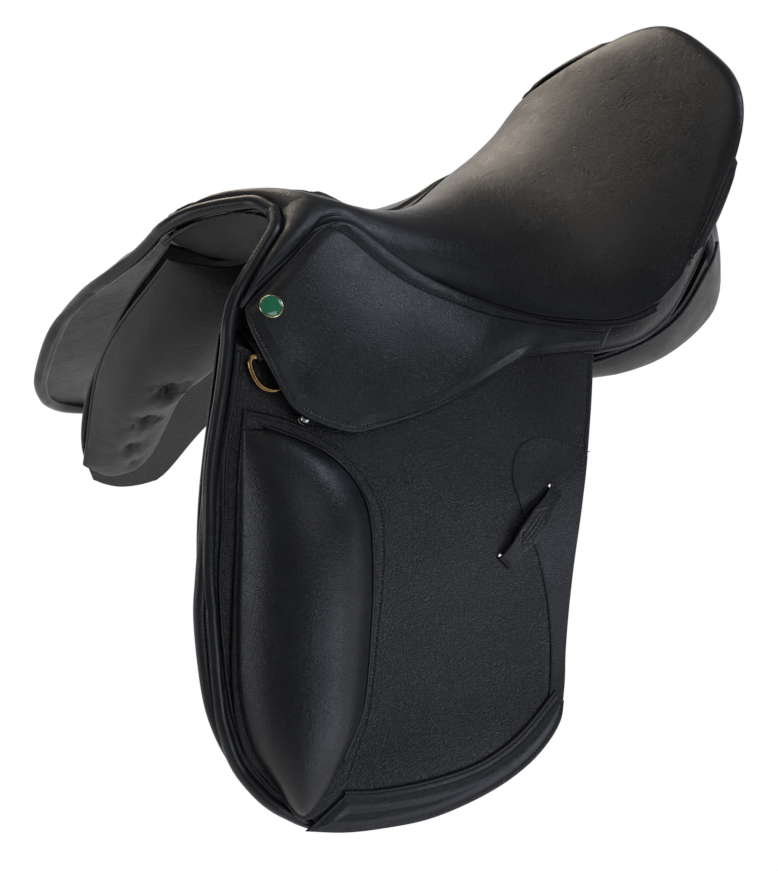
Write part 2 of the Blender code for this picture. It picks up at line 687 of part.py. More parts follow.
def make_straps():
    for name, y, share in (("billet_front_left", -150.0, 0.36), ("billet_rear_left", -100.0, 0.66)):
        z = np.linspace(4, -252, 13)
        low = curve_x(SWEAT_CURVE, z) + SWEAT_THICK
        mid = low + (curve_x(FLAP_CURVE, z) - low) * share
        slope = np.gradient(mid, z)
        size = np.sqrt(1 + slope ** 2)
        outer = np.zeros((2, 13, 3))
        inner = np.zeros((2, 13, 3))
        for i, dy in enumerate((-STRAP_WIDTH / 2, STRAP_WIDTH / 2)):
            for grid, half in ((outer, STRAP_THICK / 2), (inner, -STRAP_THICK / 2)):
                grid[i] = np.stack([mid + half / size, z * 0 + y + dy, z - half * slope / size], 1)
        between(name, outer, inner, "strap leather")


def main():
    clear_scene()
    make_seat()
    make_tree()
    make_pommel()
    make_panel()
    make_flap()
    skirt, n = make_skirt()
    make_facing()
    make_bar()
    make_fittings(skirt, n)
    make_straps()
    lefts = [o for o in list(bpy.context.collection.objects) if o.name.endswith("_left")]
    for thing in lefts:
        other_side(thing, thing.name[:-4] + "right")



main()
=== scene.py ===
"""Looks for a black leather dressage saddle, laid out as a Blender add-on.

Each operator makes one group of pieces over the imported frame, and main() runs them in order.
Lengths are in millimetres until a mesh is made. -Y is the pommel, +X the near side, +Z up.
"""

import math

import bmesh
import bpy
import numpy as np
from bpy.props import FloatProperty, FloatVectorProperty, IntProperty, PointerProperty
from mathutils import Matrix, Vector


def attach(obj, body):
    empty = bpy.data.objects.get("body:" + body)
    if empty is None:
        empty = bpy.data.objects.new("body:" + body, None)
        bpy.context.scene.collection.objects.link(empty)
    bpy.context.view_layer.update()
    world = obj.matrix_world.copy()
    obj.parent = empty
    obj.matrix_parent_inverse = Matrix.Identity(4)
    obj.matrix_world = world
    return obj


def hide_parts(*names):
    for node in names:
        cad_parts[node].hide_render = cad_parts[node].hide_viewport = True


bl_info = {
    "name": "Dressage Saddle",
    "version": (1, 0, 0),
    "blender": (4, 5, 0),
    "location": "View3D > Sidebar > Saddle",
    "description": "Builds the leather, stitching and fittings of a dressage saddle",
    "category": "Add Mesh",
}

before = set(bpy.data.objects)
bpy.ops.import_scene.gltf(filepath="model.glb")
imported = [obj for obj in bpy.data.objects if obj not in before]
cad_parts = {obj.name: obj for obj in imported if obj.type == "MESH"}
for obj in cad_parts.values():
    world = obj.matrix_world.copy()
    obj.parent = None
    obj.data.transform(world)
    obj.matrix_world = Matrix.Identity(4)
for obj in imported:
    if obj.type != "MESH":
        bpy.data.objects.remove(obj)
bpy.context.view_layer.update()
MM = 0.001
METRE = 1000.0
BODY = "saddle"

# Finishes: how far the gloss varies, pores across one cell of grain, reach of a worn edge in mm
GLOSS_SPREAD = 0.08
HAZE_SPREAD = 0.05
PORES_IN_CELL = 2.2
WEAR_REACH = 2.2

# How far a roll's end stands out, as a share of its radius
TIP_SHARE = 0.4

# Light of the room, as shares of white, and the picture's height in pixels
ROOM_SHINE = 0.2
ROOM_LIGHT = 0.12
PICTURE_HEIGHT = 871

# Sizes in mm: how far the flap's top draws in, and how far sewn lines lie from an edge
WAIST = 22.0
SEAM_INSET = 4.4
SKIRT_SEAM = 4.6
SKIRT_CHANNEL = 13.0
SKIRT_LENGTH = 300
SKIRT_DEPTH = 130
SKIRT_THICK = 4.0
SEAT_COVER = 3.0
FOAM_BELOW = 4.6
SWEAT_THICK = 3.0
FACING_THICK = 2.6
BORDER_THICK = 4.6
CANTLE_THICK = 2.5
KEEPER_THICK = 2.2
STRAP_THICK = 3.4
STRAP_HALF_WIDTH = 12.5
LOWEST_HOLE = -215
HOLE_STEP = 24
HOLE_RADIUS = 2.6
RING_WIRE = 2.3
RING_HALF_WIDTH = 14.5
LOOP_OUTER, LOOP_INNER = 5.2, 3.0
CHAPE_START = 76.0
DISC_RADIUS = 8.75
BALL_RADIUS = 4.2

# Height and half width down the flap, and down the sweat flap inside it
FLAP_CURVE = [(110, 38), (85, 62), (61, 81), (5, 120), (-50, 164), (-111, 200), (-164, 228),
    (-221, 262), (-264, 293), (-310, 320)]
SWEAT_CURVE = [(90, 45), (58, 63), (24, 80), (-16, 100), (-82, 125), (-145, 145), (-209, 160),
    (-262, 172), (-320, 184)]

# Rows across the seat: middle (y, z), left end (x, y, z), fullness in height and in plan
SEAT_ROWS = [
    (-180.5, 107.5, 73.5, -243, 81, 2.5, 1.4),
    (-172, 109.5, 69, -232, 86.5, 2.7, 1.5),
    (-161, 108.5, 61, -217, 88.5, 2.6, 1.7),
    (-151, 105.5, 44, -187, 93, 2.4, 1.6),
    (-142, 101.5, 28, -162, 98.5, 2.2, 1.5),
    (-130, 95.5, 18, -133, 90.5, 2.0, 1.5),
    (-112, 84, 25, -115, 76.5, 2.0, 1.5),
    (-90, 71.5, 39, -93, 53.5, 2.0, 1.5),
    (-62, 59.5, 56, -61.5, 31, 2.2, 1.5),
    (-30, 51, 81, -29, 18.5, 2.2, 1.5),
    (0, 47, 106, 0, 14, 2.4, 1.5),
    (32, 46, 127, 31, 14, 2.6, 2.0),
    (64, 52, 143, 61, 16, 2.8, 3.0),
    (96, 67, 151, 86, 27, 3.0, 3.2),
    (126, 88, 153, 102, 43, 3.1, 3.4),
    (155, 113, 153, 110, 52, 3.2, 3.5),
    (182, 140, 152, 114, 56, 3.2, 3.6),
    (202, 157.5, 151, 117, 59, 3.0, 3.6),
    (212, 164, 151, 119, 61, 2.9, 3.5),
    (220, 160, 151, 121, 62, 3.1, 3.1),
    (224, 143, 150, 123, 63, 3.8, 2.7),
]

# The same for the gullet's lining
LINING_ROWS = [
    (-190, 97, 73, -257, 57, 2.6, 1.45),
    (-187, 84, 68, -249, 49, 2.6, 1.55),
    (-176, 74, 55, -230, 41, 2.6, 1.7),
    (-150, 62, 42, -200, 34, 2.4, 1.6),
]

# Middle lines of the rolls: over the pommel from the middle to the left, and down the left flap
ARCH = [(0, -189, 105.5), (21, -196.5, 104), (35, -210.5, 98.5), (48, -226, 91.5),
    (59, -240.5, 83.5), (68, -251.5, 74), (77, -259, 63.5), (83, -262.5, 56)]
ROLL = [(84, -263, 54.5), (93, -269, 40), (107, -279, 20), (122, -290, 2), (147, -308, -29.5),
    (168, -320.5, -56.5), (188.5, -332.5, -84), (204.5, -341.5, -115.5), (229, -347.3, -164),
    (244.6, -346, -192.5), (260.5, -338, -220), (279, -322.5, -245.5), (291, -303, -264.5),
    (297, -290, -274.5)]

# Panel stations: three points on the side that meets the saddle, the stuffing's way and
# depth, and how much of it is left at the lower end
PANEL = [
    (59, -262, 43, 124, -311, -86, 162, -330, -232, -7, -1, -4, 0.9),
    (53, -243, 38, 118, -294, -88, 167, -305, -256, -28, 0, -9, 0.9),
    (44, -214, 32, 109, -254, -92, 162, -268, -244, -33, -4, -13, 0.5),
    (39, -178, 34, 92, -208, -52, 132, -238, -148, -34, 0, -16, 0.4),
    (36, -140, 37, 80, -160, -20, 112, -182, -84, -33, 0, -22, 0.7),
    (34, -95, 32, 76, -100, -6, 106, -106, -54, -31, 0, -32, 1.0),
    (33, -40, 13.5, 74, -40, -10.5, 104, -42, -42, -24, 0, -44, 1.0),
    (33, 45, 12, 86, 45, -4.6, 134, 46, -25, -10, 0, -46, 1.0),
    (36, 118, 42, 92, 118, 22, 140, 112, 0, -12, 5, -70, 1.0),
    (42, 166, 80, 86, 165, 66, 125, 154, 42, -12, 20, -96, 1.0),
    (54, 184, 70, 83, 183, 58, 104, 174, 44, -4, 18, -60, 1.0),
]
# Where thread draws the panel in (y, z)
TUFTS = [(-260, -103), (-277, -156), (-290, -202), (-285, -236)]

# Outlines in side view (y, z)
SWEAT_TOP = [(-259, 53), (-235, 34), (-200, 8), (-100, 0), (-50, -14), (-24, -20)]
SWEAT_BOTTOM = [(-321, -262), (-309, -274), (-294, -284), (-275, -289), (-257, -289)]
SWEAT_FRONT = [(-259, 53), (-272, 22), (-288, -16), (-310, -82), (-326, -145), (-331, -209),
    (-321, -262)]
SWEAT_REAR = [(-24, -20), (-45, -70), (-92, -130), (-158, -190), (-205, -228), (-243, -277),
    (-257, -289)]
FLAP_TOP = [(-247, 44), (-222, 28), (-180, 2), (-145, -6.5), (-110, -10.5), (-70, -10.5), (-20, -6),
    (45, -8)]
FLAP_REAR = [(45, -8), (39, -18), (13, -78), (-6, -123), (-30, -180), (-44, -215), (-51, -234),
    (-58, -248)]
FLAP_BOTTOM = [(-268, -284), (-237, -290.5), (-200, -295.5), (-165, -295), (-131, -290.7),
    (-103, -283), (-82, -273), (-66, -261), (-58, -248)]

# Upper, lower, front and rear edge of the thigh block's border and of its pad
BORDER_EDGES = [
    [(-266, 9), (-242, -1), (-216, -16)],
    [(-314, -238.5), (-309, -253), (-299, -266), (-279, -264), (-252, -250)],
    [(-266, 9), (-277, -12), (-289, -38), (-302, -74), (-314, -110), (-325, -148), (-331, -180),
     (-332, -204), (-326, -223), (-314, -238.5)],
    [(-216, -16), (-195, -34), (-182, -52), (-175, -75), (-177, -95), (-187, -128), (-198, -158),
     (-209, -186), (-225, -219), (-252, -250)],
]
PAD_EDGES = [
    [(-272, -3), (-250, -8), (-222, -24)],
    [(-312, -240), (-307, -254), (-297, -263), (-278, -255), (-256, -238)],
    [(-272, -3), (-281, -23), (-291, -49), (-303, -85), (-314, -122), (-323, -160), (-326, -190),
     (-323, -215), (-312, -240)],
    [(-222, -24), (-202, -42), (-192, -62), (-191, -83), (-196, -110), (-204, -140), (-217, -179),
     (-232, -212), (-256, -238)],
]

# The lower facing's upper edge and the smooth patch's front edge
FACING_TOP = [(-260, -259), (-235, -265), (-200, -270), (-160, -272), (-130, -269), (-100, -260),
    (-63, -242)]
PEAR = [(10, -80), (-8, -71), (-26, -65), (-43, -66), (-54, -73), (-60, -84), (-59, -99),
    (-56, -121), (-52, -145), (-52, -175), (-58, -211), (-67, -237), (-74, -249)]

# The skirt's edges, and the upper and lower edge of the cantle's facing
SKIRT_TOP = [(23, -148, 96.5), (22.5, -131, 89), (28.5, -116, 75), (38, -98.5, 57.5), (48, -78, 39),
    (63, -51.5, 22.5), (83.5, -27, 13.5), (106, 0, 9), (126, 28, 7.5), (139, 55, 7.5)]
SKIRT_FRONT = [(23, -148, 96.5), (31, -164, 97.5), (42, -182, 94), (53.5, -202, 87.5),
    (62.5, -224, 79.5), (72.5, -245, 72.5)]
SKIRT_BOTTOM = [(72.5, -245, 72.5), (92, -247, 61), (123, -241, 32), (142, -228, 9),
    (154.5, -193.3, -11.5), (153.5, -166, -17), (148.6, -118.6, -19.3), (135, -74, -19.6),
    (123, -33, -15), (128.5, -4, -11), (142, 44.5, -11)]
SKIRT_REAR = [(139, 55, 7.5), (142, 44.5, -11)]
FACE_TOP = [(136, 40, 4), (143, 60, 9), (150.5, 82, 18), (149, 100, 33), (145, 119, 54),
    (134, 137, 74), (114, 163, 101), (85, 192, 125), (48, 211, 135.5), (0, 216, 136.5)]
FACE_LOW = [(134, 24, -13), (141, 46, -13), (144, 78, -11), (142, 107, 3), (135, 130, 30),
    (119, 154, 52), (95, 176, 66), (64, 192.5, 74), (34, 199.5, 76), (0, 202, 76)]

# Both ends of the strap keeper
KEEPER = [(-26, -100), (-82, -139)]

# How far the main roll lies behind the flap's front line, by height
ROLL_BEHIND = np.array([
    (-262, 0), (-245, 0.2), (-226, 1.5), (-200, 5.5), (-168, 8), (-133, 9), (-99, 9), (-66, 6),
    (-36, 3.5), (-10, 0.2), (5, 0), (60, 0)], float)

MADE = {}


class SaddleSizes(bpy.types.PropertyGroup):
    """Sizes a maker would change, in millimetres."""
    roll_radius: FloatProperty(
        name="Roll radius", description="Radius of the piping roll round the front, in mm",
        default=6.0, min=3.0, max=6.0)
    welt_radius: FloatProperty(
        name="Welt radius", description="Radius of the thin welts between the leathers, in mm",
        default=1.7, min=1.0, max=3.0)
    flap_thick: FloatProperty(
        name="Flap thickness", description="Thickness of the flap leather, in mm",
        default=4.0, min=3.0, max=5.0)
    pad_height: FloatProperty(
        name="Thigh pad height", description="How far the thigh pad stands off its border, in mm",
        default=34.0, min=15.0, max=45.0)
    stitch_pitch: FloatProperty(
        name="Stitch pitch", description="Distance from one stitch to the next, in mm",
        default=3.0, min=2.0, max=5.0)
    stitch_length: FloatProperty(
        name="Stitch length", description="Length of one stitch of thread, in mm",
        default=2.3, min=1.0, max=4.0)
    thread_width: FloatProperty(
        name="Thread width", description="Width of the thread, in mm",
        default=1.0, min=0.4, max=1.5)
    billet_holes: IntProperty(
        name="Girth strap holes", description="Number of buckle holes in each girth strap",
        default=6, min=3, max=8)


class SaddleColours(bpy.types.PropertyGroup):
    """Colours a maker would change."""
    leather: FloatVectorProperty(
        name="Leather", description="Colour of the smooth leather", subtype="COLOR",
        size=3, min=0, max=1, default=(0.0103, 0.0110, 0.0130))
    enamel: FloatVectorProperty(
        name="Enamel", description="Colour of the badge's enamel", subtype="COLOR",
        size=3, min=0, max=1, default=(0.0, 0.212, 0.091))
    brass: FloatVectorProperty(
        name="Brass", description="Colour of the aged brass rings", subtype="COLOR",
        size=3, min=0, max=1, default=(0.33, 0.2, 0.085))


# Colours and materials

def linear(code):
    """An sRGB hex colour as linear values."""
    parts = [int(code[k:k + 2], 16) / 255 for k in (1, 3, 5)]
    return tuple(c / 12.92 if c <= 0.04045 else ((c + 0.055) / 1.055) ** 2.4 for c in parts)


def add(tree, kind, inputs=None, links=None, **settings):
    """Adds a node, sets its properties and inputs, and links other nodes' outputs into it."""
    made = tree.nodes.new(kind)
    for name, value in settings.items():
        setattr(made, name, value)
    for name, value in (inputs or {}).items():
        made.inputs[name].default_value = value
    feed(tree, made, links or {})
    return made


def feed(tree, node, links):
    """Links other nodes' outputs into a node's inputs."""
    for name, source in links.items():
        tree.links.new(source, node.inputs[name])


def new_material(name, inputs=None):
    """A material with one shader and the shader's own settings."""
    made = bpy.data.materials.new(name)
    made.use_nodes = True
    tree = made.node_tree
    tree.nodes.clear()
    shader = add(tree, "ShaderNodeBsdfPrincipled", inputs)
    add(tree, "ShaderNodeOutputMaterial", links={"Surface": shader.outputs["BSDF"]})
    return made, tree, shader


def leather(name, base, worn, grain, depth, roughness, crease=0.0):
    """Vegetable-tanned cowhide, dyed through and finished with a thin clear dressing.

    The dye gives a blue-black; the dressing a soft gloss that breaks up over the grain's cells.
    Grain is the width of one cell in mm and depth how far the valleys go down.
    """
    made, tree, shader = new_material(name, {"IOR": 1.5, "Specular IOR Level": 0.3})
    place = add(tree, "ShaderNodeTexCoord").outputs["Object"]
    warp = add(tree, "ShaderNodeTexNoise", {"Scale": 260.0, "Detail": 2.0}, {"Vector": place})
    bent = add(tree, "ShaderNodeMix", {"Factor": 0.004}, {4: place, 5: warp.outputs["Color"]},
               data_type="VECTOR")
    cells = add(tree, "ShaderNodeTexVoronoi", {"Scale": METRE / grain, "Randomness": 1.0},
                {"Vector": bent.outputs[1]}, feature="SMOOTH_F1")
    valley = add(tree, "ShaderNodeMapRange", {1: 0.15, 2: 0.75, 3: 1.0, 4: 0.0},
                 {0: cells.outputs["Distance"]})
    pores = add(tree, "ShaderNodeTexNoise",
                {"Scale": PORES_IN_CELL * METRE / grain, "Detail": 3.0}, {"Vector": place})
    folds = add(tree, "ShaderNodeTexNoise",
                {"Scale": 55.0, "Detail": 4.0, "Roughness": 0.6, "Distortion": 0.8},
                {"Vector": place})
    fine = add(tree, "ShaderNodeBump", {"Strength": 0.35, "Distance": 0.12 * depth * MM},
               {"Height": pores.outputs["Fac"]})
    grained = add(tree, "ShaderNodeBump", {"Strength": 0.6, "Distance": 0.35 * depth * MM},
                  {"Height": valley.outputs["Result"], "Normal": fine.outputs["Normal"]})
    folded = add(tree, "ShaderNodeBump", {"Strength": 0.25 + crease, "Distance": 1.2 * MM},
                 {"Height": folds.outputs["Fac"], "Normal": grained.outputs["Normal"]})
    cloud = add(tree, "ShaderNodeTexNoise", {"Scale": 14.0, "Detail": 3.0}, {"Vector": place})
    tone = add(tree, "ShaderNodeMapRange", {1: 0.35, 2: 0.7, 3: 0.0, 4: 0.55},
               {0: cloud.outputs["Fac"]})
    edge = add(tree, "ShaderNodeAttribute", attribute_name="edge")
    rubbed = add(tree, "ShaderNodeMath", {1: 0.5}, {0: edge.outputs["Fac"]}, operation="MULTIPLY")
    share = add(tree, "ShaderNodeMath", None, {0: tone.outputs["Result"], 1: rubbed.outputs[0]},
                operation="MAXIMUM")
    colour = add(tree, "ShaderNodeMix", {6: (*base, 1), 7: (*worn, 1)}, {0: share.outputs[0]},
                 data_type="RGBA")
    dull = add(tree, "ShaderNodeMapRange",
               {1: 0.3, 2: 0.75, 3: roughness - GLOSS_SPREAD, 4: roughness + GLOSS_SPREAD},
               {0: folds.outputs["Fac"]})
    feed(tree, shader, {"Base Color": colour.outputs[2], "Roughness": dull.outputs["Result"],
                        "Normal": folded.outputs["Normal"]})
    return made


def metal(name, colour, roughness):
    """Cast and tumbled metal: the tumbling leaves a fine, even haze over the polish."""
    made, tree, shader = new_material(name, {"Metallic": 1.0})
    place = add(tree, "ShaderNodeTexCoord").outputs["Object"]
    haze = add(tree, "ShaderNodeTexNoise", {"Scale": 900.0, "Detail": 4.0}, {"Vector": place})
    dull = add(tree, "ShaderNodeMapRange",
               {1: 0.3, 2: 0.7, 3: roughness - HAZE_SPREAD, 4: roughness + HAZE_SPREAD},
               {0: haze.outputs["Fac"]})
    dark = tuple(c * 0.6 for c in colour)
    patina = add(tree, "ShaderNodeTexNoise", {"Scale": 160.0, "Detail": 3.0}, {"Vector": place})
    blend = add(tree, "ShaderNodeMapRange", {1: 0.4, 2: 0.75, 3: 0.0, 4: 0.7},
                {0: patina.outputs["Fac"]})
    mix = add(tree, "ShaderNodeMix", {6: (*colour, 1), 7: (*dark, 1)}, {0: blend.outputs["Result"]},
              data_type="RGBA")
    feed(tree, shader, {"Base Color": mix.outputs[2], "Roughness": dull.outputs["Result"]})
    return made


def thread_material():
    """Waxed, bonded polyester thread: black, with a slight shine along each twist."""
    made, tree, shader = new_material(
        "bonded polyester thread", {"Base Color": (*linear("#08080a"), 1), "Roughness": 0.3})
    place = add(tree, "ShaderNodeTexCoord").outputs["Object"]
    twist = add(tree, "ShaderNodeTexWave", {"Scale": 500.0, "Distortion": 1.0}, {"Vector": place})
    bump = add(tree, "ShaderNodeBump", {"Strength": 0.5, "Distance": 0.1 * MM},
               {"Height": twist.outputs["Fac"]})
    feed(tree, shader, {"Normal": bump.outputs["Normal"]})
    return made


def enamel_material():
    """Vitreous enamel under a clear domed coat: deep green, glassy."""
    made, tree, shader = new_material(
        "vitreous enamel", {"Roughness": 0.12, "Coat Weight": 1.0, "Coat Roughness": 0.03})
    place = add(tree, "ShaderNodeTexCoord").outputs["Object"]
    cloud = add(tree, "ShaderNodeTexNoise", {"Scale": 300.0, "Detail": 2.0}, {"Vector": place})
    green = tuple(bpy.context.scene.saddle_colours.enamel)
    deep = tuple(c * 0.7 for c in green)
    mix = add(tree, "ShaderNodeMix", {6: (*green, 1), 7: (*deep, 1)}, {0: cloud.outputs["Fac"]},
              data_type="RGBA")
    feed(tree, shader, {"Base Color": mix.outputs[2]})
    return made


def laminate_material():
    """Beech veneers glued in layers: pale brown with fine streaks along the tree."""
    made, tree, shader = new_material("laminated beech", {"Roughness": 0.45})
    place = add(tree, "ShaderNodeTexCoord").outputs["Object"]
    along = add(tree, "ShaderNodeMapping", {"Scale": (60.0, 6.0, 60.0)}, {"Vector": place})
    grain = add(tree, "ShaderNodeTexNoise", {"Scale": 6.0, "Detail": 5.0},
                {"Vector": along.outputs[0]})
    mix = add(tree, "ShaderNodeMix", {6: (*linear("#a9855a"), 1), 7: (*linear("#7d5c38"), 1)},
              {0: grain.outputs["Fac"]}, data_type="RGBA")
    feed(tree, shader, {"Base Color": mix.outputs[2]})
    return made


def webbing_material():
    """Woven linen webbing, matt and undyed, with its threads drawn 3 mm apart so that they show."""
    made, tree, shader = new_material("linen webbing", {"Roughness": 0.9})
    place = add(tree, "ShaderNodeTexCoord").outputs["Object"]
    warp = add(tree, "ShaderNodeTexWave", {"Scale": 100.0}, {"Vector": place}, bands_direction="X")
    weft = add(tree, "ShaderNodeTexWave", {"Scale": 100.0}, {"Vector": place}, bands_direction="Y")
    weave = add(tree, "ShaderNodeMath", None, {0: warp.outputs["Fac"], 1: weft.outputs["Fac"]},
                operation="MULTIPLY")
    bump = add(tree, "ShaderNodeBump", {"Strength": 0.7, "Distance": 0.4 * MM},
               {"Height": weave.outputs[0]})
    mix = add(tree, "ShaderNodeMix", {6: (*linear("#8f8874"), 1), 7: (*linear("#c4bca6"), 1)},
              {0: weave.outputs[0]}, data_type="RGBA")
    feed(tree, shader, {"Base Color": mix.outputs[2], "Normal": bump.outputs["Normal"]})
    return made


def foam_material():
    """Open-cell seat foam: cream, with cells about 1 mm wide."""
    made, tree, shader = new_material("seat foam", {"Roughness": 0.95})
    place = add(tree, "ShaderNodeTexCoord").outputs["Object"]
    cells = add(tree, "ShaderNodeTexVoronoi", {"Scale": METRE}, {"Vector": place})
    bump = add(tree, "ShaderNodeBump", {"Strength": 0.8, "Distance": 0.5 * MM},
               {"Height": cells.outputs["Distance"]})
    mix = add(tree, "ShaderNodeMix", {6: (*linear("#d9cfae"), 1), 7: (*linear("#b5a983"), 1)},
              {0: cells.outputs["Distance"]}, data_type="RGBA")
    feed(tree, shader, {"Base Color": mix.outputs[2], "Normal": bump.outputs["Normal"]})
    return made


def make_materials():
    """One material for each real finish on the saddle."""
    black = tuple(bpy.context.scene.saddle_colours.leather)
    worn = linear("#24262a")
    MADE["calf"] = leather("box calf leather", black, worn, 0.9, 0.65, 0.33)
    MADE["panel calf"] = leather("soft panel calf leather", black, black, 1.1, 0.8, 0.4, 0.1)
    MADE["grained"] = leather("pebbled flap leather", linear("#141518"), worn, 1.15, 1.6, 0.36, -0.2)
    MADE["piping"] = leather("stretched piping leather", black, worn, 0.8, 0.3, 0.28, -0.2)
    MADE["strap"] = leather("edged strap leather", black, worn, 1.0, 0.6, 0.4, -0.15)
    MADE["thread"] = thread_material()
    MADE["enamel"] = enamel_material()
    MADE["brass"] = metal("aged brass", tuple(bpy.context.scene.saddle_colours.brass), 0.26)
    MADE["rim brass"] = metal("polished rim brass", linear("#c4bb93"), 0.2)
    MADE["nickel"] = metal("polished nickel", linear("#a9a9ab"), 0.18)
    MADE["steel"] = metal("forged steel", linear("#8b8c8e"), 0.34)
    MADE["laminate"] = laminate_material()
    MADE["webbing"] = webbing_material()
    MADE["foam"] = foam_material()


def give_material(node, kind):
    """Gives a piece of the frame its material."""
    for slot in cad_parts[node].material_slots:
        slot.material = MADE[kind]


# Surfaces

def at(line, shares):
    """Points on a smooth curve through the given ones, at shares of its length."""
    keys = np.array(line, float)
    if len(keys) == 2:
        t = np.asarray(shares)[:, None]
        return keys[0] * (1 - t) + keys[1] * t
    padded = np.vstack([2 * keys[0] - keys[1], keys, 2 * keys[-1] - keys[-2]])
    w = np.linspace(0, 1, 24, endpoint=False)[:, None]
    fine = []
    for k in range(len(keys) - 1):
        a, b, c, d = padded[k:k + 4]
        fine.append(0.5 * (2 * b + (c - a) * w + (2 * a - 5 * b + 4 * c - d) * w * w
                           + (3 * b - a - 3 * c + d) * w ** 3))
    fine = np.vstack(fine + [keys[-1:]])
    length = np.r_[0, np.cumsum(np.linalg.norm(np.diff(fine, axis=0), axis=1))]
    places = np.asarray(shares) * length[-1]
    return np.stack([np.interp(places, length, fine[:, k]) for k in range(keys.shape[1])], 1)


def even(count):
    return np.linspace(0, 1, count)


def rimmed(count, length, seams=()):
    """Shares along an edge, close together near both ends and at the seams that run beside them."""
    near = [0, 0.05, 0.2, 0.5, 0.95, 1.6, 2.6]
    near += [seam + step for seam in seams for step in (-1.5, -1.0, -0.6, -0.2, 0.2, 0.6, 1.0, 1.5)]
    near = np.array(sorted(near)) / length
    return np.r_[near, np.linspace(near[-1], 1 - near[-1], count)[1:-1], 1 - near[::-1]]


def patch(top, bottom, front, rear, us, vs):
    """A surface stretched between its four edges."""
    t, b = at(top, us), at(bottom, us)
    f, r = at(front, vs), at(rear, vs)
    u = us[:, None, None]
    v = vs[None, :, None]
    ruled = (1 - v) * t[:, None] + v * b[:, None] + (1 - u) * f[None] + u * r[None]
    corners = ((1 - u) * (1 - v) * t[0] + u * (1 - v) * t[-1] + (1 - u) * v * b[0] + u * v * b[-1])
    return ruled - corners


def unit(ways):
    return ways / np.linalg.norm(ways, axis=-1, keepdims=True)


def curve_x(curve, z):
    """Half width of a flap at each height."""
    keys = np.array([(k[0], k[1]) for k in curve][::-1], float)
    fine = at(keys, even(200))
    return np.interp(z, fine[:, 0], fine[:, 1])


def waist(y, z):
    """How far the flap's top draws in beside the narrow middle of the seat."""
    height = np.clip((z + 100) / 80, 0, 1)
    return WAIST * np.exp(-((y + 40) / 50) ** 2) * height * height * (3 - 2 * height)


def wrap(curve, side_view, lift=0.0):
    """Lays side-view points (y, z) on the splayed side of the saddle, lifted outwards."""
    side_view = np.asarray(side_view, float)
    z = side_view[..., 1]
    x = curve_x(curve, z)
    if curve is FLAP_CURVE:
        x = x - waist(side_view[..., 0], z)
    slope = (curve_x(curve, z + 1) - curve_x(curve, z - 1)) / 2
    size = np.sqrt(1 + slope ** 2)
    return np.stack([x + lift / size, side_view[..., 0], z - lift * slope / size], -1)


def outward(curve, side_view):
    return wrap(curve, side_view, 1.0) - wrap(curve, side_view, 0.0)


def row_surface(rows, u, shares):
    """A surface from side to side through the rows."""
    # Fullness is scaled up so that its changes count beside the millimetres
    scale = 20
    table = at(np.array(rows, float) * [1, 1, 1, 1, 1, scale, scale], shares)
    side = np.abs(u)[:, None]
    cy, cz, ex, ey, ez, p, q = table.T
    return np.stack([ex * u[:, None], cy + (ey - cy) * side ** (q / scale),
                     cz + (ez - cz) * side ** (p / scale)], -1)


def normals(grid, towards):
    """Unit normals of a grid, turned to the side that the given direction points to."""
    n = np.cross(np.gradient(grid, axis=0), np.gradient(grid, axis=1))
    n /= np.maximum(np.linalg.norm(n, axis=2, keepdims=True), 1e-9)
    flip = np.sign((n.mean((0, 1)) @ np.array(towards, float)) or 1.0)
    return n * flip


def edge_distance(grid):
    """How far each point of a grid is from its edge."""
    def run(axis):
        step = np.linalg.norm(np.diff(grid, axis=axis), axis=2)
        ahead = np.insert(np.cumsum(step, axis=axis), 0, 0, axis=axis)
        return np.minimum(ahead, np.take(ahead, [-1], axis=axis) - ahead)
    return np.minimum(run(0), run(1))


def line_distance(grid, line):
    """Distance from each point of a grid to a line of points."""
    flat = grid.reshape(-1, grid.shape[-1])
    best = np.full(len(flat), 1e9)
    for a, b in zip(line[:-1], line[1:]):
        along = b - a
        t = np.clip((flat - a) @ along / max(along @ along, 1e-12), 0, 1)
        best = np.minimum(best, np.linalg.norm(flat - a - t[:, None] * along, axis=1))
    return best.reshape(grid.shape[:-1])


def groove(grid, line, depth, width):
    """How far a row of tight stitches pulls a leather down."""
    return -depth * np.exp(-(line_distance(grid, line) / width) ** 2)


def laid_out(name, mesh):
    """An object of a mesh, in the scene."""
    thing = bpy.data.objects.new(name, mesh)
    bpy.context.collection.objects.link(thing)
    return thing


def mesh_object(name, points, faces, material, edge=None, angle=50):
    """A smooth piece with its outsides out; edge says how worn each point is."""
    mesh = bpy.data.meshes.new(name)
    mesh.from_pydata([tuple(p) for p in np.asarray(points) * MM], [], faces)
    if edge is not None:
        layer = mesh.attributes.new("edge", "FLOAT", "POINT")
        layer.data.foreach_set("value", np.asarray(edge, np.float32).ravel())
    bm = bmesh.new()
    bm.from_mesh(mesh)
    bmesh.ops.remove_doubles(bm, verts=bm.verts, dist=2e-6)
    bmesh.ops.recalc_face_normals(bm, faces=bm.faces)
    if bm.calc_volume(signed=True) < 0:
        bmesh.ops.reverse_faces(bm, faces=bm.faces)
    bm.to_mesh(mesh)
    bm.free()
    thing = laid_out(name, mesh)
    mesh.materials.append(material)
    mesh.shade_smooth()
    mesh.set_sharp_from_angle(angle=math.radians(angle))
    return thing


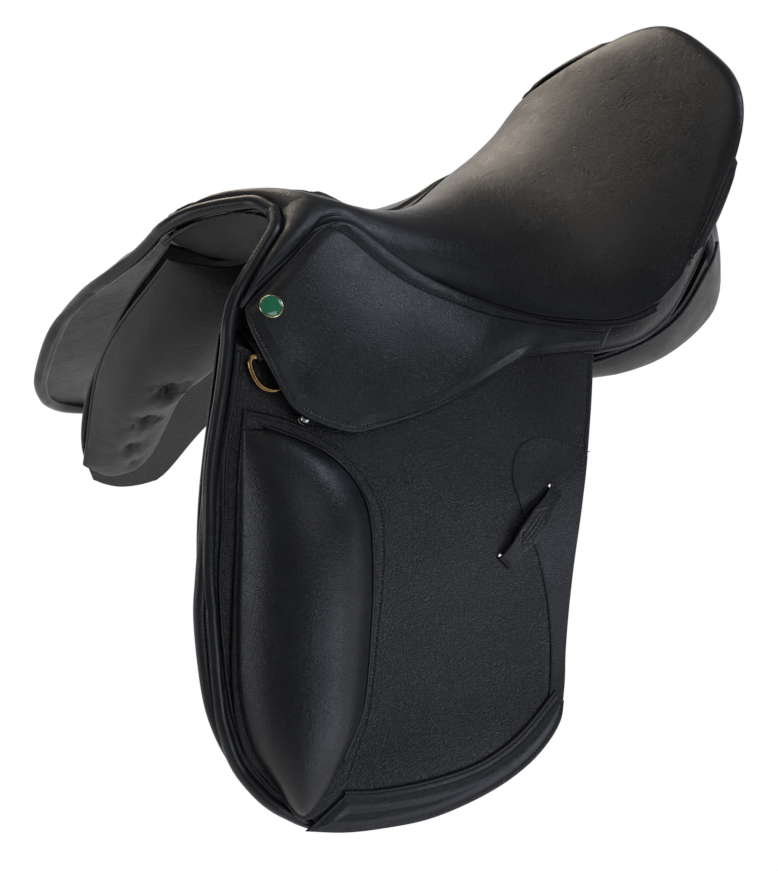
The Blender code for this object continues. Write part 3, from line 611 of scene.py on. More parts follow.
def between(name, outer, inner, material, edge=None, angle=50):
    """A closed leather between two matching grids."""
    nu, nv = outer.shape[:2]
    half = nu * nv
    k = np.arange(half).reshape(nu, nv)
    quads = np.stack([k[:-1, :-1], k[1:, :-1], k[1:, 1:], k[:-1, 1:]], -1).reshape(-1, 4)
    faces = quads.tolist() + (quads[:, ::-1] + half).tolist()
    for j in (0, nv - 1):
        faces += [(k[i, j], k[i, j] + half, k[i + 1, j] + half, k[i + 1, j]) for i in range(nu - 1)]
    for i in (0, nu - 1):
        faces += [(k[i, j], k[i, j + 1], k[i, j + 1] + half, k[i, j] + half) for j in range(nv - 1)]
    points = np.concatenate([outer.reshape(-1, 3), inner.reshape(-1, 3)])
    wear = None if edge is None else np.concatenate([edge.ravel(), edge.ravel()])
    return mesh_object(name, points, faces, material, wear, angle)


def sheet(name, base, n, thick, material, relief=0.0, rim=None):
    """A leather of even thickness with a rounded rim, pressed or raised by the relief."""
    rim = thick / 2 if rim is None else rim
    d = edge_distance(base)
    half = thick / 2 * np.sqrt(1 - (1 - np.clip(d / rim, 0, 1)) ** 2)
    middle = base + n * (thick / 2)
    raised = half + relief * np.clip(d / rim, 0, 1)
    return between(name, middle + n * raised[..., None], middle - n * half[..., None], material,
                   edge=np.exp(-(d / WEAR_REACH) ** 2))


def rings(count, sides, closed=False):
    """Numbers of the points on rings, and the faces from each ring to the next."""
    k = np.arange(count * sides).reshape(count, sides)
    faces = []
    for i in range(count if closed else count - 1):
        n = (i + 1) % count
        for j in range(sides):
            m = (j + 1) % sides
            faces.append((k[i, j], k[i, m], k[n, m], k[n, j]))
    return k, faces


def tube(name, points, radius, material, sides=20, closed=False):
    """A round roll along a line; its radius may change along it."""
    points = np.asarray(points, float)
    count = len(points)
    radius = np.broadcast_to(radius, count)
    run = np.gradient(points, axis=0)
    if closed:
        run = np.roll(points, -1, axis=0) - np.roll(points, 1, axis=0)
    run = unit(run)
    side = np.zeros_like(points)
    guide = np.array((0, 0, 1), float)
    start = guide - run[0] * (guide @ run[0])
    if np.linalg.norm(start) < 0.1:
        start = np.cross(run[0], (1, 0, 0))
    side[0] = unit(start)
    for k in range(1, count):
        side[k] = unit(side[k - 1] - run[k] * (side[k - 1] @ run[k]))
    other = np.cross(run, side)
    a = np.linspace(0, 2 * math.pi, sides, endpoint=False)
    ring = (points[:, None] + side[:, None] * (np.cos(a)[None, :, None] * radius[:, None, None])
            + other[:, None] * (np.sin(a)[None, :, None] * radius[:, None, None]))
    k, faces = rings(count, sides, closed)
    verts = ring.reshape(-1, 3)
    if not closed:
        first = points[0] - run[0] * radius[0] * TIP_SHARE
        last = points[-1] + run[-1] * radius[-1] * TIP_SHARE
        verts = np.vstack([verts, first, last])
        tip = count * sides
        for j in range(sides):
            m = (j + 1) % sides
            faces.append((k[0, m], k[0, j], tip))
            faces.append((k[-1, j], k[-1, m], tip + 1))
    return mesh_object(name, verts, faces, material, angle=60)


def turned(name, centre, axis, profile, material, sides=64):
    """A lathe-turned piece from (radius, height) pairs."""
    axis = Vector(axis).normalized()
    side = axis.orthogonal().normalized()
    other = axis.cross(side)
    a = np.linspace(0, 2 * math.pi, sides, endpoint=False)
    points = []
    for r, h in profile:
        middle = np.array(Vector(centre) + axis * h)
        round_it = np.cos(a)[:, None] * np.array(side) + np.sin(a)[:, None] * np.array(other)
        points.append(middle + round_it * r)
    faces = rings(len(profile), sides)[1]
    return mesh_object(name, np.vstack(points), faces, material, angle=35)


def mirrored(left, name):
    """The same piece for the right side of the saddle."""
    mesh = left.data.copy()
    mesh.name = name
    bm = bmesh.new()
    bm.from_mesh(mesh)
    for vert in bm.verts:
        vert.co.x = -vert.co.x
    bmesh.ops.reverse_faces(bm, faces=bm.faces)
    bm.to_mesh(mesh)
    bm.free()
    return laid_out(name, mesh)


def cut_away(thing, tool):
    """Cuts the tool out of a piece, leaves a plain mesh and keeps the tool."""
    step = thing.modifiers.new("Cut", "BOOLEAN")
    step.operation = "DIFFERENCE"
    step.object = tool
    graph = bpy.context.evaluated_depsgraph_get()
    mesh = bpy.data.meshes.new_from_object(thing.evaluated_get(graph))
    thing.modifiers.clear()
    thing.data = mesh
    mesh.set_sharp_from_angle(angle=math.radians(50))


def place(thing, slot, *nodes, body=BODY, fill=None):
    """Says what a piece moves with and what it stands for; the finish slot that it is given is not
    used.
    """
    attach(thing, body)
    if nodes:
        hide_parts(*nodes)
    return thing


def both(left, slot, *nodes, body=BODY, fill=None):
    """Places a left piece and its mirror twin on the right."""
    right = mirrored(left, left.name.replace("left", "right"))
    place(left, slot, *nodes, body=body, fill=fill)
    place(right, slot, *[n.replace("_left", "_right") for n in nodes],
          body=body.replace("_left", "_right"), fill=fill)


def piping(name, line, radius, sides=14, nodes=()):
    """A piped edge along a line; a left one gets its twin on the right."""
    lay = both if "left" in name else place
    lay(tube(name, line, radius, MADE["piping"], sides), "smooth_leather", *nodes)


# Seams: lines of stitches kept until the stitching operator sews them

SEAMS = []


def sew(line, out, slant):
    """Keeps a line of points and the way out of the leather there, for the stitches."""
    line = np.asarray(line, float)
    SEAMS.append((line, np.broadcast_to(out, line.shape), slant))


def seam_on(side_view, lift, slant):
    """A seam given in side view on the flap."""
    points = at(side_view, even(160))
    sew(wrap(FLAP_CURVE, points, lift), outward(FLAP_CURVE, points), slant)


def beside_roll(inset, shares):
    """A side-view line that follows the front roll at a distance behind it."""
    line = at([(y, z) for x, y, z in ROLL], shares)
    run = unit(np.gradient(line, axis=0))
    return line + np.stack([-run[:, 1], run[:, 0]], 1) * np.asarray(inset)[..., None]


def keeper_length():
    return float(np.linalg.norm(np.subtract(KEEPER[1], KEEPER[0])))


def keeper_layer(path, across):
    """Points over the flap from (distance, height) along the keeper and places across it."""
    start, end = np.array(KEEPER, float)
    along = (end - start) / keeper_length()
    wide = np.array([-along[1], along[0]])
    path = np.array(path, float)
    side = start + along * path[:, None, :1] + wide * across[..., None]
    return wrap(FLAP_CURVE, side, path[:, None, 1])


def arch_line(count):
    half = at(ARCH, even(count))
    return np.vstack([half[::-1] * [-1, 1, 1], half[1:]])


# Operators, one for each group of pieces

class SADDLE_OT_seat(bpy.types.Operator):
    """The deep seat's calf cover, its foam and the two welts along each side"""
    bl_idname = "saddle.seat"
    bl_label = "Seat"

    def execute(self, context):
        u = rimmed(90, 150) * 2 - 1
        v = rimmed(120, 520)
        rows = np.array(SEAT_ROWS)
        rows = np.vstack([rows[0] + (rows[0] - rows[1]) * [0.5, 0.5, 0.5, 0.5, 0.5, 0, 0], rows])
        long = row_surface(rows, u, even(1600))
        top = np.array([self.behind(line, arch_line(300), v) for line in long])
        flat, n = top, normals(top, (0, 0, 1))
        d = edge_distance(top)
        # The cover turns down 2 mm at its edge and stands 3 mm fuller away from it
        round_off = 2.0 * np.exp(-(d / 3.5) ** 1.5) - 3.0 * (1 - np.exp(-(d / 17.0) ** 2))
        top = top - n * round_off[..., None]
        n = normals(top, (0, 0, 1))
        cover = sheet("seat_cover_calf", top - n * SEAT_COVER, n, SEAT_COVER, MADE["calf"], rim=1.6)
        place(cover, "smooth_leather", "seat_cover", fill=0.5)

        crown = (top - n * FOAM_BELOW)[8:-8, 14:-12]
        up = n[8:-8, 14:-12]
        a = np.linspace(-1, 1, crown.shape[0])[:, None]
        b = np.linspace(0, 1, crown.shape[1])[None, :]
        swell = np.sin(math.pi * np.clip(b * 0.9 + 0.08, 0, 1)) ** 0.7
        deep = (2 + (1 - a ** 4) * (4.5 + 6 * b) * swell)[..., None]
        foam = between("seat_foam_block", crown, crown - up * deep, MADE["foam"])
        place(foam, "foam", "seat_foam", fill=0.8)

        # Two welts side by side between the seat and each skirt
        n = normals(flat, (0, 0, 1))
        radius = context.scene.saddle_sizes.welt_radius
        side, off = flat[-1, 6:-4], unit((flat[-1] - flat[-9])[6:-4])
        for name, down, deep in (("seat_welt_left", 1.7, 0.9), ("seat_lower_welt_left", 4.6, 1.8)):
            sink = deep + 2.8 * np.clip((side[:, 1:2] + 60) / 60, 0, 1)
            near = side + off * down - n[-1, 6:-4] * sink
            near = near[near[:, 1] < 90]
            piping(name, at(near[::3], even(300)), radius)
        return {"FINISHED"}

    def behind(self, line, arch, shares):
        """A line along the seat that starts where it leaves the pommel roll."""
        reach = bpy.context.scene.saddle_sizes.roll_radius + 0.8
        away = np.linalg.norm(line[:240, None] - arch[None], axis=2).min(1)
        inside = np.flatnonzero(away < reach)
        start = (inside[-1] + 1) / (len(line) - 1) if len(inside) else 0.0
        places = start + (1 - start) * shares
        return np.stack([np.interp(places, even(len(line)), line[:, k]) for k in range(3)], 1)


class SADDLE_OT_tree(bpy.types.Operator):
    """Materials of the tree, webbing and gullet plate inside the saddle"""
    bl_idname = "saddle.tree"
    bl_label = "Tree"

    def execute(self, context):
        give_material("tree", "laminate")
        give_material("seat_webbing", "webbing")
        give_material("gullet_plate", "steel")
        return {"FINISHED"}


class SADDLE_OT_pommel(bpy.types.Operator):
    """The roll over the pommel and down both flaps, and the padded gullet lining"""
    bl_idname = "saddle.pommel"
    bl_label = "Pommel and front rolls"

    def execute(self, context):
        sizes = context.scene.saddle_sizes
        arch = np.vstack([[-84.3, -263.2, 54.0], arch_line(70), [84.3, -263.2, 54.0]])
        piping("pommel_roll_calf", arch, sizes.roll_radius, 28, ["pommel_roll"])
        inner = arch_line(70) * [0.9, 1, 1] + [0, 1.5, -7.4]
        piping("arch_welt", inner, 2.0)

        u, v = rimmed(70, 180) * 2 - 1, rimmed(40, 60)
        lining = row_surface(LINING_ROWS, u, v)
        n = normals(lining, (0, 0, -1))
        puff = 3.0 * np.sin(np.pi * v)[None, :] * (1 - np.abs(u[:, None]) ** 4)
        cover = sheet("gullet_lining_calf", lining, n, 2.0, MADE["panel calf"], relief=puff, rim=1.2)
        place(cover, "smooth_leather", "gullet_lining", fill=0.4)

        # The main roll leaves the flap's edge for a softer lining roll in front of it
        t = even(170)
        base = at(ROLL, t)
        behind = np.interp(base[:, 2], ROLL_BEHIND[:, 0], ROLL_BEHIND[:, 1])
        share = (behind / ROLL_BEHIND[:, 1].max())[:, None]
        line = wrap(FLAP_CURVE, beside_roll(behind, t), 5.0) * share + base * (1 - share)
        radius = sizes.roll_radius - 0.7 * share[:, 0]
        radius[:3] = sizes.roll_radius - 0.15
        radius[-14:] *= np.linspace(1, 0.72, 14)
        piping("flap_roll_left_calf", line, radius, 28, ["flap_roll_left"])
        shown = behind > 0.3
        lining = base[shown] + np.array([-1.2, 0.8, 0.0]) * share[shown]
        size = 3.6 + 1.6 * share[shown, 0]
        both(tube("flap_lining_roll_left", lining, size, MADE["panel calf"], 24), "smooth_leather")
        between_rolls = (line + base)[shown] / 2 + [2.6, -0.6, 1.6]
        sew(between_rolls[6:-6], (0.8, -0.5, 0.33), 0.0)

        thin = wrap(FLAP_CURVE, beside_roll(behind + 7.7, t)[3:-3], 4.4)
        piping("flap_welt_left", thin, sizes.welt_radius)
        seam_on(beside_roll(behind + 12.0, t)[5:-8], 4.3, 0.75)
        return {"FINISHED"}


class SADDLE_OT_panels(bpy.types.Operator):
    """The two flocked panels with their tufts and welts"""
    bl_idname = "saddle.panels"
    bl_label = "Panels"

    def execute(self, context):
        along, down = rimmed(110, 700), rimmed(48, 300)
        table = at(PANEL, along)
        v = down * 2 - 1
        base = np.zeros((len(along), len(down), 3))
        face = np.zeros_like(base)
        for i, row in enumerate(table):
            base[i] = at([row[0:3], row[3:6], row[6:9]], down)
            rear = np.clip((along[i] - 0.5) / 0.25, 0, 1)
            side = 0.2 + 0.55 * rear
            share = side + (1 - side) * (1 - np.abs(v) ** (2.6 + 2.4 * rear))
            fade = np.clip(v / 0.6, 0, 1)
            share = share * (1 - (1 - row[12]) * fade * fade * (3 - 2 * fade))
            for y, z in TUFTS:
                away = np.hypot(base[i, :, 1] - y, base[i, :, 2] - z)
                turn = np.arctan2(base[i, :, 2] - z, base[i, :, 1] - y)
                # A steep dent at the thread, a wide one round it, and seven pulls between them
                pulls = 0.05 * np.cos(7 * turn + y) * np.exp(-((away - 14) / 8.0) ** 2)
                steep, wide = 0.34 * np.exp(-(away / 7.0) ** 2), 0.16 * np.exp(-(away / 20.0) ** 2)
                share = share * (1 - steep - wide + pulls)
            face[i] = base[i] + share[:, None] * row[9:12]
        d = edge_distance(base)
        soft = (1 - (1 - np.clip(d / 11.0, 0, 1)) ** 2) ** 0.5
        face = base + (face - base) * (0.35 + 0.65 * soft)[..., None]
        panel = between("panel_left_calf", base, face, MADE["panel calf"],
                        edge=np.zeros(base.shape[:2]), angle=80)
        both(panel, "smooth_leather", "panel_left", fill=0.8)
        rim = base[:, -1] + (face[:, -1] - base[:, -1]) * 0.5
        welt = np.vstack([base[0, :-1], rim[2:-2]])
        welt = at(welt[::4], even(260)) + [1.0, 0, 0]
        piping("panel_welt_left", welt, 1.6, 10)
        return {"FINISHED"}


class SADDLE_OT_flaps(bpy.types.Operator):
    """Flaps, sweat flaps, the smooth rear patch and the lower facing"""
    bl_idname = "saddle.flaps"
    bl_label = "Flaps"

    def execute(self, context):
        sizes = context.scene.saddle_sizes
        thick = sizes.flap_thick
        seam = (SEAM_INSET,)
        front = beside_roll(sizes.roll_radius - 1.6, even(60))
        side = patch([tuple(front[0])] + FLAP_TOP, [tuple(front[-1])] + FLAP_BOTTOM, front, FLAP_REAR,
                     rimmed(110, 300, seam), rimmed(110, 320, seam))
        base = wrap(FLAP_CURVE, side)
        n = outward(FLAP_CURVE, side)
        rear_line = at(FLAP_REAR, even(60)) + [-SEAM_INSET, 0]
        lines = [at(PEAR, even(120)), at(FACING_TOP, even(80))]
        relief = sum(groove(side, line, 0.5, 1.6) for line in lines) + groove(side, rear_line, 0.4, 0.9)
        flap = sheet("flap_left_leather", base, n, thick, MADE["grained"], relief=relief)
        seam_on(rear_line[6:-4], thick, 0.1)

        sweat = patch(SWEAT_TOP, SWEAT_BOTTOM, SWEAT_FRONT, SWEAT_REAR,
                      rimmed(60, 240), rimmed(60, 300))
        both(sheet("sweat_flap_left_leather", wrap(SWEAT_CURVE, sweat), outward(SWEAT_CURVE, sweat),
                   SWEAT_THICK, MADE["grained"]), "grained_leather", "sweat_flap_left")

        # The smooth patch inside the flap's rear edge, tapered towards its lower end
        upper = at(FLAP_REAR, np.linspace(0.32, 0.985, 40)) + [-0.8, 0]
        pear = at(PEAR, even(60))
        area = patch([pear[0], upper[0]], [pear[-1], upper[-1]], pear, upper,
                     rimmed(30, 60), rimmed(90, 200))
        smooth = sheet("flap_patch_left", wrap(FLAP_CURVE, area, thick - 0.55),
                       outward(FLAP_CURVE, area), 1.3, MADE["calf"])
        length = keeper_length()
        for s in (-1.4, length - 1.5):
            ends = np.array([-6.6, 6.6])[None]
            grids = [keeper_layer([(s, h), (s + 2.9, h)], ends) for h in (7.0, -2.0)]
            slot = between("slot", *grids, MADE["strap"])
            cut_away(flap, slot)
            cut_away(smooth, slot)
            bpy.data.objects.remove(slot, do_unlink=True)
        both(flap, "grained_leather", "flap_left")
        both(smooth, "smooth_leather")
        seam_on(pear[:-1] + [1.6, -0.6], thick + 0.75, 0.15)

        bottom = [(-299, -273.8)] + FLAP_BOTTOM[:-1] + [(-58.5, -249)]
        face = patch(FACING_TOP, bottom, [FACING_TOP[0], bottom[0]], [FACING_TOP[-1], bottom[-1]],
                     rimmed(90, 240, seam), rimmed(16, 22, seam))
        n = outward(FLAP_CURVE, face)
        inset = np.array([0, 4.0])
        upper, lower = at(FACING_TOP, even(80)) - inset, at(bottom[1:], even(80)) + inset
        bulge = 1.6 * np.sin(np.pi * np.clip((edge_distance(face) - 4) / 14, 0, 1))
        bulge = bulge + groove(face, upper, 0.4, 0.9) + groove(face, lower, 0.4, 0.9)
        facing = sheet("flap_facing_left_calf", wrap(FLAP_CURVE, face, thick), n, FACING_THICK,
                       MADE["calf"], relief=bulge)
        both(facing, "smooth_leather", "flap_facing_left")
        seam_on(upper, thick + 2.5, 0.3)
        seam_on(lower, thick + 2.5, 0.3)
        welt = wrap(FLAP_CURVE, at(FACING_TOP, even(120)) + [0, 0.8], thick + 1.3)
        piping("facing_welt_left", welt, 1.4, 10)
        return {"FINISHED"}


class SADDLE_OT_blocks(bpy.types.Operator):
    """Thigh blocks: a full pad of leather over foam inside its sewn border"""
    bl_idname = "saddle.blocks"
    bl_label = "Thigh blocks"

    def execute(self, context):
        low = context.scene.saddle_sizes.flap_thick
        seam = (SEAM_INSET,)
        edge = patch(*BORDER_EDGES, rimmed(70, 130, seam), rimmed(110, 280, seam))
        n = outward(FLAP_CURVE, edge)
        inner = at([(-262, -2)] + PAD_EDGES[3], even(80))
        stitched = at([(-258, 4)] + BORDER_EDGES[3], even(120)) + [-SEAM_INSET, 0.4]
        relief = groove(edge, stitched, 0.4, 0.9) + groove(edge, inner, 0.5, 2.0)
        border = sheet("block_border_left_calf", wrap(FLAP_CURVE, edge, low), n, BORDER_THICK,
                       MADE["grained"], relief=relief)
        both(border, "smooth_leather", "block_border_left")
        seam_on(stitched, low + 4.5, 0.2)

        pad = patch(*PAD_EDGES, rimmed(90, 120), rimmed(130, 250))
        out = outward(FLAP_CURVE, pad)
        us, vs = rimmed(90, 120) * 2 - 1, rimmed(130, 250) * 2 - 1
        rise = (1 - np.abs(us[:, None]) ** 2.4) * (1 - np.abs(vs[None, :]) ** 4) ** 0.8
        rise = rise * (1 - 0.3 * np.exp(-((vs[None, :] + 1) / 0.45) ** 2))
        step = 3 * np.clip(edge_distance(pad) / 2.0, 0, 1) ** 0.5
        rise = context.scene.saddle_sizes.pad_height * rise + step
        base = wrap(FLAP_CURVE, pad, low + 4.2)
        pad_piece = between("thigh_block_left_calf", base + out * rise[..., None], base, MADE["calf"],
                            edge=np.zeros(rise.shape), angle=80)
        both(pad_piece, "smooth_leather", "thigh_block_left", fill=0.9)
        lip = wrap(FLAP_CURVE, inner[2:] + [1.2, 0.4], low + 5.4)
        piping("block_lip_left", lip, 1.5, 10)
        seam_on(inner + [3.6, 1.0], low + 4.7, 0.6)
        return {"FINISHED"}


class SADDLE_OT_skirts(bpy.types.Operator):
    """Skirts over the stirrup bars, padded inside a stitched channel"""
    bl_idname = "saddle.skirts"
    bl_label = "Skirts"

    def execute(self, context):
        us = rimmed(110, SKIRT_LENGTH, (SKIRT_SEAM,))
        vs = rimmed(80, SKIRT_DEPTH, (SKIRT_SEAM, SKIRT_CHANNEL))
        grid = patch(SKIRT_TOP, SKIRT_BOTTOM, SKIRT_FRONT, SKIRT_REAR, us, vs)
        n = normals(grid, (1, 0, 0))
        along = np.sin(np.pi * np.minimum(us[:, None] * 1.6, 1)) ** 0.8
        puff = 6 * np.sin(np.pi * vs[None, :] ** 1.1) * along
        # Room for the ring to swing, and for the stirrup bar's catch to turn, under the skirt
        for spot, lift, reach in (((113, -236, 36), 4.5, 26), ((92, -90, 34), 3.5, 28)):
            puff = puff + lift * np.exp(-(np.linalg.norm(grid - np.array(spot), axis=2) / reach) ** 2)
        grid = grid + n * puff[..., None]
        n = normals(grid, (1, 0, 0))
        surface = grid + n * SKIRT_THICK

        k = np.argmin(abs(vs - SKIRT_CHANNEL / SKIRT_DEPTH))
        channel, channel_out = surface[14:-10, k], n[14:-10, k]
        k = np.argmin(abs(vs - (1 - SKIRT_SEAM / SKIRT_DEPTH)))
        rim, rim_out = surface[10:-4, k], n[10:-4, k]
        k = np.argmin(abs(us - SKIRT_SEAM / SKIRT_LENGTH))
        fore, fore_out = surface[k, 6:-12], n[k, 6:-12]
        border, border_out = np.vstack([fore, rim]), np.vstack([fore_out, rim_out])

        raised = np.clip((line_distance(surface, border[::3]) - 2.0) / 6, 0, 1)
        raised = raised * np.clip((line_distance(surface, channel[::3]) - 0.9) / 3, 0, 1)
        inner = (edge_distance(surface) > 6) * 1.0
        relief = groove(surface, channel[::2], 0.7, 1.1) + groove(surface, border[::2], 0.5, 1.0)
        relief = relief + raised * inner * 1.6
        skirt = sheet("skirt_left_calf", grid, n, SKIRT_THICK, MADE["calf"], relief=relief)
        both(skirt, "smooth_leather", "skirt_left")
        sew(channel - channel_out * 0.2, channel_out, 0.35)
        sew(border - border_out * 0.1, border_out, 0.6)
        MADE["skirt grid"] = (surface, n)
        return {"FINISHED"}


class SADDLE_OT_cantle(bpy.types.Operator):
    """The facing that closes the back between the seat and the panels"""
    bl_idname = "saddle.cantle"
    bl_label = "Cantle facing"

    def execute(self, context):
        half = even(70)
        top, low = at(FACE_TOP, half), at(FACE_LOW, half)
        flip = np.array([-1, 1, 1])
        top = np.vstack([top, top[-2::-1] * flip])
        low = np.vstack([low, low[-2::-1] * flip])
        v = rimmed(14, 45)[None, :, None]
        grid = top[:, None] * (1 - v) + low[:, None] * v
        n = normals(grid, (0, 1, 0))
        if n[69, 8] @ np.array([0, 1.0, 0]) < 0:
            n = -n
        grid = grid + n * 2.5 * np.sin(np.pi * v)
        facing = sheet("cantle_facing_leather", grid - n * CANTLE_THICK, n, CANTLE_THICK,
                       MADE["grained"], rim=1.2)
        place(facing, "smooth_leather", "cantle_facing")
        sew(grid[1:68, -8] - n[1:68, -8] * 0.1, n[1:68, -8], 0.6)
        rim = grid[:, -1] - n[:, -1] * 0.5
        drop = unit(grid[:, -1] - grid[:, -8])
        piping("cantle_welt", at((rim + drop * 1.9)[::2], even(300)), 2.1)
        return {"FINISHED"}


class SADDLE_OT_keepers(bpy.types.Operator):
    """Strap keepers with a pressed lozenge, drawn through slots in the flaps"""
    bl_idname = "saddle.keepers"
    bl_label = "Strap keepers"

    def execute(self, context):
        low = context.scene.saddle_sizes.flap_thick
        length = keeper_length()
        rise = [(-1.0, 0.6), (-1.0, low - 0.5), (-0.4, low + 1.6), (5, low + 3.6)]
        fall = [(length - s, h) for s, h in rise[::-1]]
        path = at(rise + [(length / 2, low + 7.4)] + fall, rimmed(110, length + 12))
        run = unit(np.gradient(path, axis=0))
        over = path + np.stack([-run[:, 1], run[:, 0]], 1) * KEEPER_THICK
        px = path[:, :1] - length / 2
        half = 6.3 + 2.3 * np.exp(-(px / 17.0) ** 4)
        py = (rimmed(36, 15) * 2 - 1)[None, :] * half
        base = keeper_layer(path, py)
        n = unit(keeper_layer(over, py) - base)

        # A pressed lozenge filled with a plain woven pattern
        lozenge = np.maximum(np.abs(px) / 18.0 + np.abs(py) / 14.0, np.abs(py) / 6.6)
        line = -0.55 * np.exp(-((lozenge - 0.93) / 0.055) ** 2)
        weave = np.sin(px / 1.25 + py * 1.0) * np.sin(px / 1.25 - py * 1.0)
        press = line + np.where(lozenge < 0.8, 0.28 * np.tanh(3 * weave) - 0.14, 0.0)
        both(sheet("keeper_left_leather", base, n, KEEPER_THICK, MADE["calf"], press, 1.0),
             "smooth_leather", "keeper_left")
        return {"FINISHED"}


class SADDLE_OT_fittings(bpy.types.Operator):
    """Badge studs, front rings with their chapes, nail studs and the stirrup bars"""
    bl_idname = "saddle.fittings"
    bl_label = "Fittings"

    def execute(self, context):
        surface, n = MADE["skirt grid"]
        spot = np.array((79.0, -225.5, 68.5))
        flat, out = surface.reshape(-1, 3), n.reshape(-1, 3)
        near = np.argsort(np.linalg.norm(flat - spot, axis=1))[:40]
        axis = unit(out[near].mean(0))
        centre = spot + axis * (((flat[near] - spot) @ axis).max() + 0.2)
        rim = [(0, 0), (9.4, 0), (9.7, 0.5), (9.7, 2.4), (9.4, 2.8), (9.1, 2.9), (8.9, 2.7),
               (8.8, 1.6), (0, 1.6)]
        both(turned("badge_rim_left_brass", centre, axis, rim, MADE["rim brass"]),
             "brass", "badge_rim_left")
        dome = [(0, 1.4), (DISC_RADIUS, 1.4), (DISC_RADIUS, 2.2)]
        dome += [(DISC_RADIUS * math.cos(a), 2.2 + 1.3 * math.sin(a))
                 for a in np.linspace(0.1, math.pi / 2, 10)]
        both(turned("badge_disc_left_enamel", centre, axis, dome, MADE["enamel"]), "green_enamel",
             "badge_disc_left")

        ring_top = np.array((103.5, -239.0, 45.5))
        lean = np.array((0.57, 0.0, -0.8216))
        fore = np.array((0.0, 1.0, 0.0))
        line = [ring_top + fore * k for k in np.linspace(-11.5, 11.5, 12)]
        for a in np.linspace(0, math.pi, 44):
            drop = lean * (3 + 26 * math.sin(a) ** 0.75)
            line.append(ring_top + fore * RING_HALF_WIDTH * math.cos(a) + drop)
        ring = tube("d_ring_left_brass", line, RING_WIRE, MADE["brass"], closed=True)
        both(ring, "brass", "d_ring_left", body="d_ring_left")

        # The chape in section: out along its top, round the ring's bar, and back inside
        x, y, z = ring_top
        turn = np.radians(90 - 270 * even(24))
        shape = [(CHAPE_START, z + LOOP_OUTER)]
        shape += [(x + LOOP_OUTER * math.cos(a), z + LOOP_OUTER * math.sin(a)) for a in turn]
        shape += [(x - LOOP_OUTER, z + 0.6), (x - LOOP_INNER, z + 0.6)]
        shape += [(x + LOOP_INNER * math.cos(a), z + LOOP_INNER * math.sin(a)) for a in turn[::-1]]
        shape += [(CHAPE_START, z + LOOP_INNER)]
        both(self.strap_end("d_ring_chape_left_leather", shape, y),
             "strap_leather", "d_ring_chape_left")

        nail = np.array([[-222.0, -7.5]])
        stud, way = wrap(FLAP_CURVE, nail, 4.2)[0], outward(FLAP_CURVE, nail)[0]
        ball = [(0, 0), (3.8, 0), (3.8, 0.8), (2.2, 1.4), (1.9, 2.2), (2.1, 3.0)]
        ball += [(BALL_RADIUS * math.cos(a), 6.6 + BALL_RADIUS * math.sin(a))
                 for a in np.radians(np.linspace(-55, 90, 14))]
        both(turned("flap_stud_left_nickel", stud, way, ball, MADE["nickel"], 32),
             "nickel", "flap_stud_left")
        for node in ("stirrup_bar_left", "stirrup_bar_right", "bar_catch_left", "bar_catch_right"):
            give_material(node, "steel")
        return {"FINISHED"}

    def strap_end(self, name, shape, y):
        """A strap's folded end, seen in section and given its width along Y."""
        count = len(shape)
        points = [(x, y + w, z) for w in (-8.0, 8.0) for x, z in shape]
        faces = [tuple(range(count))[::-1], tuple(range(count, 2 * count))]
        faces += [(k, (k + 1) % count, count + (k + 1) % count, count + k) for k in range(count)]
        return mesh_object(name, points, faces, MADE["strap"], angle=40)


class SADDLE_OT_straps(bpy.types.Operator):
    """Girth straps with a row of buckle holes"""
    bl_idname = "saddle.straps"
    bl_label = "Girth straps"

    def execute(self, context):
        for name, y, share in (("billet_front_left", -150.0, 0.36), ("billet_rear_left", -100.0, 0.66)):
            s = rimmed(90, 290)
            z = 4 - 256 * s
            low = curve_x(SWEAT_CURVE, z) + 3.0
            mid = low + (curve_x(FLAP_CURVE, z) - waist(y + 23, z) - low) * share
            slope = np.gradient(mid, z)
            size = np.sqrt(1 + slope ** 2)
            w = rimmed(16, 25) * 2 - 1
            point = np.clip((s - 0.955) / 0.045, 0, 1)
            half = STRAP_HALF_WIDTH * np.sqrt(1 - 0.85 * point ** 2)
            grid = np.zeros((len(s), len(w), 3))
            grid[..., 0] = (mid - 1.75 / size)[:, None]
            grid[..., 1] = y + w[None, :] * half[:, None]
            grid[..., 2] = (z + 1.75 * slope / size)[:, None]
            out = np.stack([1 / size, 0 * z, -slope / size], 1)
            n = np.repeat(out[:, None], len(w), 1)
            strap = sheet(name + "_leather", grid, n, STRAP_THICK, MADE["strap"], rim=1.3)
            self.punch(strap, mid, z, y, out, context.scene.saddle_sizes.billet_holes)
            both(strap, "strap_leather", name, body=name)
        return {"FINISHED"}

    def punch(self, strap, mid, z, y, out, count):
        """Cuts the buckle holes from the lowest up."""
        for k in range(count):
            spot = int(np.argmin(np.abs(z - (LOWEST_HOLE + HOLE_STEP * k))))
            centre = (mid[spot], y, z[spot])
            profile = [(0, -6), (HOLE_RADIUS, -6), (HOLE_RADIUS, 6), (0, 6)]
            pin = turned("hole", centre, out[spot], profile, MADE["strap"], 20)
            cut_away(strap, pin)
            bpy.data.objects.remove(pin, do_unlink=True)


